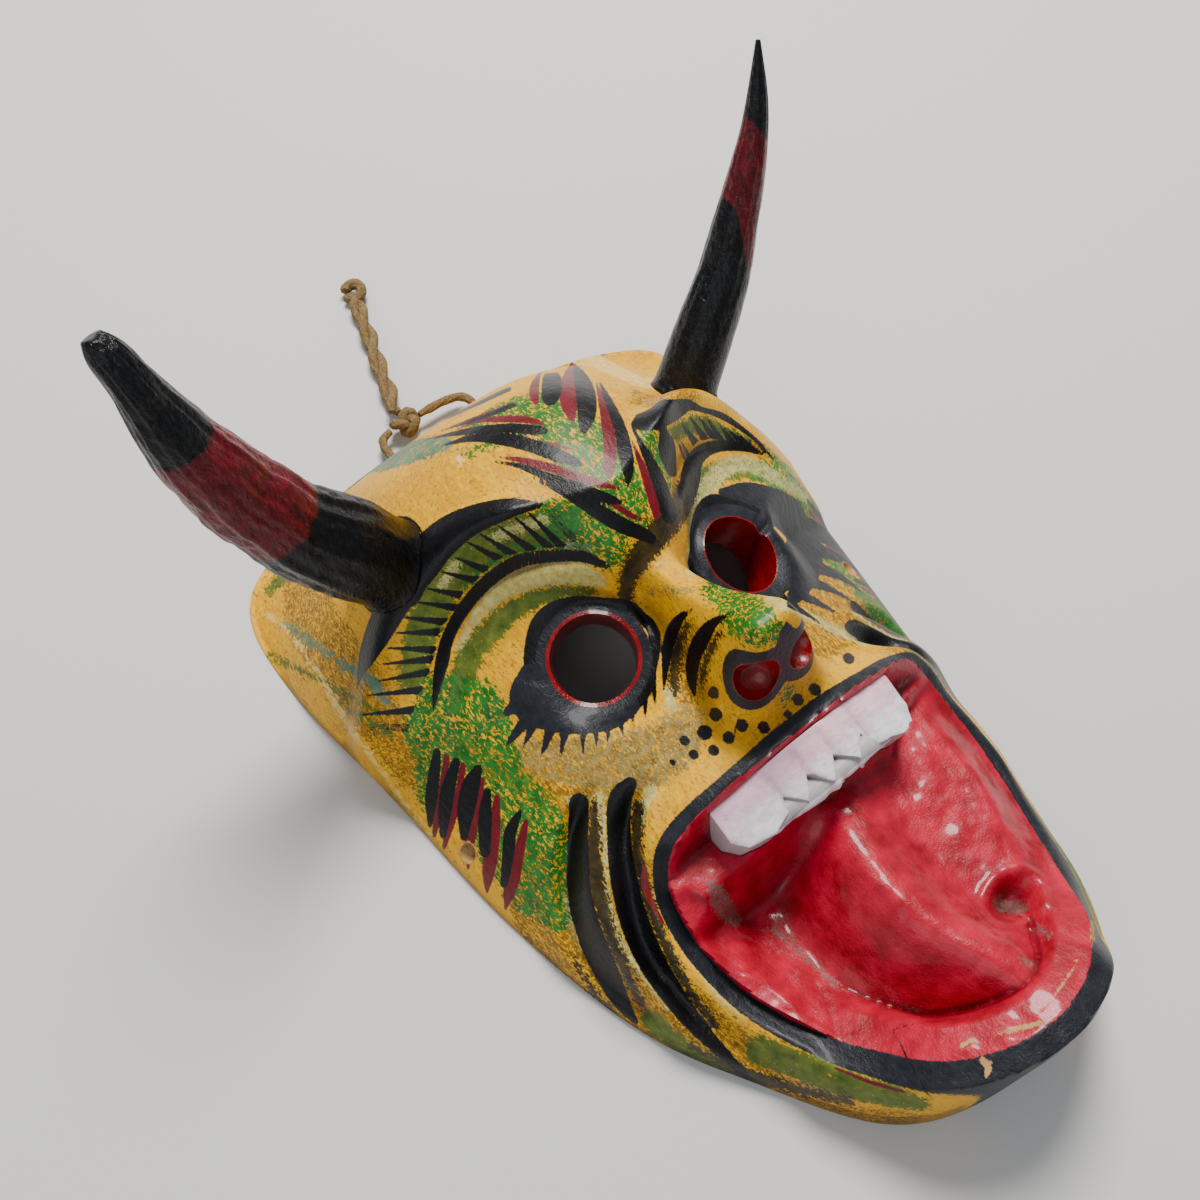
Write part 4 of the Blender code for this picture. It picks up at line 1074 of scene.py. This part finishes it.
class Wire:
    "one shader value; sums and products of it add their own Math nodes"
    def __init__(self, finish, socket):
        self.finish, self.socket = finish, socket

    def math(self, operation, *values, **settings):
        settings["operation"] = operation
        return self.finish.node("ShaderNodeMath", settings, dict(enumerate(values)))

    def __add__(self, other):
        return self.math("ADD", self, other)

    def __sub__(self, other):
        return self.math("SUBTRACT", self, other)

    def __rsub__(self, other):
        return self.math("SUBTRACT", other, self)

    def __mul__(self, other):
        return self.math("MULTIPLY", self, other)

    def __truediv__(self, other):
        return self.math("DIVIDE", self, other)

    __radd__, __rmul__ = __add__, __mul__

    def held(self):
        "kept between 0 and 1"
        return self.math("ADD", self, 0.0, use_clamp=True)

    def above(self, edge, soft):
        "0 below the edge and 1 above it"
        return ((self - edge) / soft + 0.5).held()


class Finish:
    "one material and the nodes in it"
    def __init__(self, name):
        self.material = bpy.data.materials.new(name)
        self.material.use_nodes = True
        self.tree = self.material.node_tree
        self.tree.nodes.clear()
        self.skin = self.tree.nodes.new("ShaderNodeBsdfPrincipled")
        out = self.tree.nodes.new("ShaderNodeOutputMaterial")
        self.tree.links.new(self.skin.outputs[0], out.inputs[0])
        self.plan = self.node("ShaderNodeTexCoord", out="Object")

    def node(self, kind, settings=None, sockets=None, out=0):
        n = self.tree.nodes.new(kind)
        for key, value in (settings or {}).items():
            if key == "stops":
                ramp = n.color_ramp.elements
                while len(ramp) < len(value):
                    ramp.new(0.5)
                for stop, (place, colour) in zip(ramp, value):
                    stop.position, stop.color = place, colour
            else:
                setattr(n, key, value)
        for key, value in (sockets or {}).items():
            self.plug(n.inputs[key], value)
        return Wire(self, n.outputs[out])

    def plug(self, socket, value):
        if isinstance(value, Wire):
            self.tree.links.new(value.socket, socket)
        else:
            socket.default_value = (*value, 1.0) if socket.type == "RGBA" else value

    def wear(self, **sockets):
        "sets the surface's own sockets"
        for name, value in sockets.items():
            self.plug(self.skin.inputs[name.replace("_", " ").title()], value)
        return self.material

    def read(self, name):
        return self.node("ShaderNodeAttribute", {"attribute_name": name}, out="Fac")

    def grain(self, size, detail=3.0, stretch=(1, 1, 1), twist=0.0, shift=0.0):
        "soft noise whose blobs are about size mm; stretch above 1 shortens them along that axis"
        at = self.node("ShaderNodeVectorMath", {"operation": "MULTIPLY_ADD"},
                       {0: self.plan, 1: tuple(s / (size * MM) for s in stretch), 2: (shift, shift, shift)})
        sockets = {"Vector": at, "Scale": 1.0, "Detail": detail, "Roughness": 0.6, "Distortion": twist}
        return self.node("ShaderNodeTexNoise", {}, sockets, out="Fac")

    def mix(self, share, a, b, how="MIX"):
        settings = {"data_type": "RGBA", "blend_type": how}
        return self.node("ShaderNodeMix", settings, {0: share, 6: a, 7: b}, out=2)

    def bump(self, height, distance, strength=1.0):
        sockets = {"Height": height, "Distance": distance, "Strength": strength}
        return self.node("ShaderNodeBump", {}, sockets)


# each colour of the mask, with the painted shade, highlight and reflection among them: its edge, two shades,
# how ragged its edge is and how full it covers inside, in mm, the size of its brush flecks and its gloss
COATS = [
    # darker brown: partly an antique wash, partly painted shade
    ("shade", (0.15, 0.065, 0.001), (0.40, 0.20, 0.002), 6.0, 0.5, 0.8, 0.5, 0.0),
    ("moss", (0.05, 0.09, 0.006), (0.16, 0.19, 0.02), 3.2, 1.8, 1.1, 0.5, 0.0),
    ("dust", (0.16, 0.12, 0.035), (0.36, 0.27, 0.09), 4.0, 0.2, 0.7, 0.6, 0.0),
    ("leaf", (0.004, 0.085, 0.006), (0.02, 0.20, 0.02), 5.0, 0.9, 1.0, 0.45, 0.1),
    ("teal", (0.06, 0.14, 0.08), (0.16, 0.24, 0.14), 3.0, 1.0, 1.4, 0.5, 0.0),
    # pale crests: partly dry-brushed gold, partly painted highlight
    ("cream", (0.66, 0.60, 0.24), (0.34, 0.32, 0.07), 2.6, 0.6, 0.55, 0.45, 0.0),
    ("scuff", (0.80, 0.50, 0.10), (0.85, 0.62, 0.24), 3.0, 0.3, 1.6, 0.6, 0.0),
    ("umber", (0.012, 0.009, 0.004), (0.07, 0.045, 0.008), 2.4, 2.0, 0.8, 0.4, 0.1),
    ("mouth", (0.26, 0.0015, 0.008), (0.58, 0.007, 0.038), 0.40, FAR, 2.4, 0.36, 0.30),
    ("ox", (0.11, 0.002, 0.006), (0.17, 0.004, 0.012), 0.30, FAR, 0.8, 0.36, 0.1),
    ("ink", (0.0016, 0.0016, 0.002), (0.004, 0.004, 0.005), 0.28, FAR, 0.8, 0.36, 0.08),
    # black paint with the sky's reflection painted on it, lighter and bluer than the ink
    ("slate", (0.007, 0.008, 0.011), (0.018, 0.020, 0.027), 0.35, FAR, 0.8, 0.40, 0.06),
    ("blood", (0.30, 0.001, 0.003), (0.14, 0.001, 0.002), 0.30, FAR, 1.4, 0.20, 0.35),
    ("grey", (0.16, 0.08, 0.07), (0.26, 0.14, 0.12), 2.6, 0.4, 0.8, 0.6, 0.0),
    ("wood", (0.58, 0.36, 0.14), (0.40, 0.20, 0.06), 0.7, FAR, 0.9, 0.7, 0.0),
    ("crack", (0.004, 0.001, 0.001), (0.01, 0.002, 0.002), 0.2, FAR, 0.6, 0.6, 0.0),
]


def carved_paint():
    f = Finish("carved_paint")
    # how hollow the carving is here, for the painted shade in the hollows
    high = f.read("cup")
    broad, bristle = f.grain(22, 4), f.grain(1.6, 4, (1.0, 0.35, 1.0), 0.6)
    colour = f.mix(broad.above(0.5, 0.5), (0.62, 0.255, 0.0), (0.84, 0.415, 0.0))
    colour = f.mix(bristle.above(0.56, 0.25) * 0.5, colour, (0.98, 0.62, 0.003))
    pores = f.grain(0.9, 3, (1.0, 0.5, 1.0), 0.5, 7).above(0.60, 0.10)
    pores = pores * f.grain(14, 2, shift=3).above(0.42, 0.3)
    colour = f.mix(pores * 0.7, colour, (0.12, 0.05, 0.002))
    gloss, shine = bristle * 0.16 + 0.38, 0.0
    down = f.read("comb_down")
    past = down.math("MAXIMUM", down - 1.0, down * -1.0 - 0.02)
    comb = down.math("PINGPONG", f.read("comb"), 0.5) * f.read("comb_gap") - (down * 1.1 + 0.28)
    comb = comb + past.math("MAXIMUM", past, 0.0) * 30.0
    for name, deep, pale, ragged, full, fleck, rough, gleam in COATS:
        edge = f.read(name)
        if name == "ink":
            edge = edge.math("MINIMUM", edge, comb)
        edge = edge.math("MAXIMUM", edge, -full)
        speck = f.grain(fleck, 3, (1.0, 0.45, 1.0), 0.8, len(name))
        cover = ((speck - 0.5) * (ragged * 3.0) - edge).above(0.0, 0.28 if full == FAR else 0.8)
        shade = f.mix(f.grain(fleck * 4, 3, shift=len(name) * 2).above(0.5, 0.4), deep, pale)
        colour = f.mix(cover, colour, shade)
        gloss = gloss + (rough - gloss) * cover
        shine = cover * (gleam - shine) + shine
    # painted shade: the colour darkened in the carving's hollows
    colour = f.mix(high.above(0.45, 0.9) * 0.5, colour, (0.03, 0.012, 0.004), "MULTIPLY")
    height = bristle * 0.5 + f.grain(0.7, 3, shift=5) * 0.35 + f.grain(5, 3, shift=9) * 0.8
    f.skin.inputs["Specular IOR Level"].default_value = 0.22
    f.skin.inputs["Coat Roughness"].default_value = 0.12
    return f.wear(base_color=colour, roughness=gloss, coat_weight=shine, normal=f.bump(height, 0.0006, 0.8))


def gouged_wood():
    f = Finish("gouged_wood")
    rings = f.grain(2.2, 5, (1.0, 0.06, 1.0), 0.4)
    colour = f.mix(rings.above(0.5, 0.35), srgb(112, 76, 44), srgb(160, 118, 76))
    colour = f.mix(f.grain(30, 3).above(0.52, 0.3) * 0.5, colour, srgb(70, 46, 28))
    return f.wear(base_color=colour, roughness=rings * 0.2 + 0.62, normal=f.bump(rings, 0.0004, 0.7))


def horn_lacquer(name, start, end, slant, tilt):
    "black at the root and the tip, red between, brushed lengthwise"
    f = Finish(name)
    along, across = f.read("along") + (f.grain(3.5, 4) - 0.5) * 0.035, f.read("turned")
    red = (along + across * slant).above(start, 0.012) * (1 - (along + across * tilt).above(end, 0.012))
    streak = f.grain(1.4, 4, (1.0, 0.5, 0.35), 0.5)
    black = f.mix(streak.above(0.55, 0.3), (0.001, 0.001, 0.0012), (0.004, 0.0045, 0.006))
    dark = f.mix(streak.above(0.5, 0.35), (0.05, 0.0008, 0.003), (0.17, 0.003, 0.010))
    worn = f.grain(1.0, 3, (1.0, 0.5, 0.3), 0.4, 4).above(0.70, 0.05) * 0.5
    f.skin.inputs["Specular IOR Level"].default_value = 0.28
    return f.wear(base_color=f.mix(worn * red, f.mix(red, black, dark), (0.30, 0.18, 0.18)),
                  roughness=streak * 0.22 + 0.14, normal=f.bump(streak + f.grain(4.5, 3) * 0.6, 0.0009, 0.8))


def tooth_white():
    f = Finish("tooth_white")
    brush = f.grain(1.5, 4, (0.4, 1.0, 1.0), 0.6)
    colour = f.mix(brush.above(0.5, 0.4), (0.70, 0.66, 0.70), (0.96, 0.93, 0.95))
    gum = f.read("gum") + (f.grain(4.0, 3) - 0.5) * 1.1
    colour = f.mix(gum.above(0.50, 0.35) * 0.6, colour, (0.85, 0.34, 0.46))
    # painted shade: the front faces of teeth and filler greyed
    colour = f.mix((f.read("front") + (brush - 0.5) * 0.2).above(0.5, 0.12) * 0.8, colour, (0.34, 0.31, 0.30))
    return f.wear(base_color=colour, roughness=brush * 0.2 + 0.36, normal=f.bump(brush, 0.0004, 0.6))


def jute_fibre():
    f = Finish("jute_fibre")
    hair = f.grain(0.55, 4, (1.0, 0.35, 1.0), 1.2)
    colour = f.mix(hair.above(0.5, 0.35), (0.07, 0.042, 0.018), (0.40, 0.27, 0.12))
    colour = f.mix(f.grain(6, 3).above(0.5, 0.4) * 0.4, colour, (0.16, 0.10, 0.045))
    f.skin.inputs["Specular IOR Level"].default_value = 0.1
    return f.wear(base_color=colour, roughness=hair * 0.1 + 0.85, normal=f.bump(hair, 0.0005, 1.0))


def pale_floor():
    return Finish("pale_floor").wear(base_color=srgb(214, 212, 208), roughness=0.9)


def dress(obj, *materials, angle):
    "gives a piece its finishes and keeps edges sharper than the angle"
    obj.data.materials.clear()
    for m in materials:
        obj.data.materials.append(m)
    take(obj)
    bpy.ops.object.shade_smooth_by_angle(angle=angle)


def bare_wood(obj):
    "which faces are the hollow's: under the carved front, facing down, and none of the openings' own walls"
    centre, lift = to_plan(kept(obj.data.polygons, "center")), kept(obj.data.polygons, "normal")[:, 2]
    x, y, z = centre.T
    out = np.hypot(x - FACE_MIDDLE[0], y - FACE_MIDDLE[1])
    inside = out < around(RIM, FACE_MIDDLE, x, y) - RIM_WALL * 0.8
    leant = (z - EYE_HEIGHT) * 0.29
    in_eye = (np.hypot(np.abs(x) - EYE[0] - leant, y - EYE[1] + leant) < 15.4) & (z > 18)
    in_nose = np.linalg.norm(np.stack([np.abs(x), y, z], 1) - NOSTRIL, axis=1) < 9
    in_seat = (np.abs(x) < 40) & (y < -29) & (y > -52) & (z > 30)
    back = (face(x, y) - z > 1.6) & inside & (lift < 0.05) & ~(in_eye | in_nose | in_seat)
    return back | (lift < -0.5)


paint_fields(mask)
dress(mask, carved_paint(), gouged_wood(), angle=0.8)
mask.data.polygons.foreach_set("material_index", bare_wood(mask).astype(np.int32))

for side, obj in horns.items():
    turned = kept(obj.data.attributes["turn"].data, "value", 1)[:, 0]
    give(obj, "turned", np.cos(turned * 2 * np.pi))
    dress(obj, horn_lacquer("horn_lacquer_" + side, *HORN_BAND[side]), angle=1.2)

bite = to_plan(corners(teeth))[:, 1]
give(teeth, "gum", np.clip((bite + 50) / 20, 0, 1))
# front: the faces that don't look up, which the paint greys as painted shade
give(teeth, "front", 1 - np.clip(kept(teeth.data.vertices, "normal")[:, 2], 0, 1) * 1.4)
enamel = tooth_white()
dress(teeth, enamel, angle=0.8)
dress(filler, enamel, angle=1.0)
fibre = jute_fibre()
for piece in (hanger_twist, hanger_loop, hanger_knot, hanger_eye):
    dress(piece, fibre, angle=1.2)


# floor and light
bare()
bpy.ops.mesh.primitive_plane_add(size=6.0, location=(0, 0, -0.0005))
floor = fresh("floor")
floor.data.materials.append(pale_floor())


def lamp(name, place, target, size, power, colour=(1, 1, 1)):
    data = bpy.data.lights.new(name, "AREA")
    data.shape, data.size, data.energy, data.color = "DISK", size, power, colour
    obj = bpy.data.objects.new(name, data)
    bpy.context.scene.collection.objects.link(obj)
    obj.location = place
    obj.rotation_euler = (Vector(target) - Vector(place)).to_track_quat("-Z", "Y").to_euler()


lamp("key", (0.45, 0.62, 1.3), (0, 0, 0.05), 0.6, 35, (1.0, 0.98, 0.95))
lamp("fill", (-1.0, -0.5, 0.9), (0, 0, 0.05), 1.2, 5, (0.93, 0.96, 1.0))
world = bpy.data.worlds.new("room")
bpy.context.scene.world = world
world.use_nodes = True
world.node_tree.nodes["Background"].inputs["Color"].default_value = (0.86, 0.92, 1.0, 1.0)
world.node_tree.nodes["Background"].inputs["Strength"].default_value = 0.36
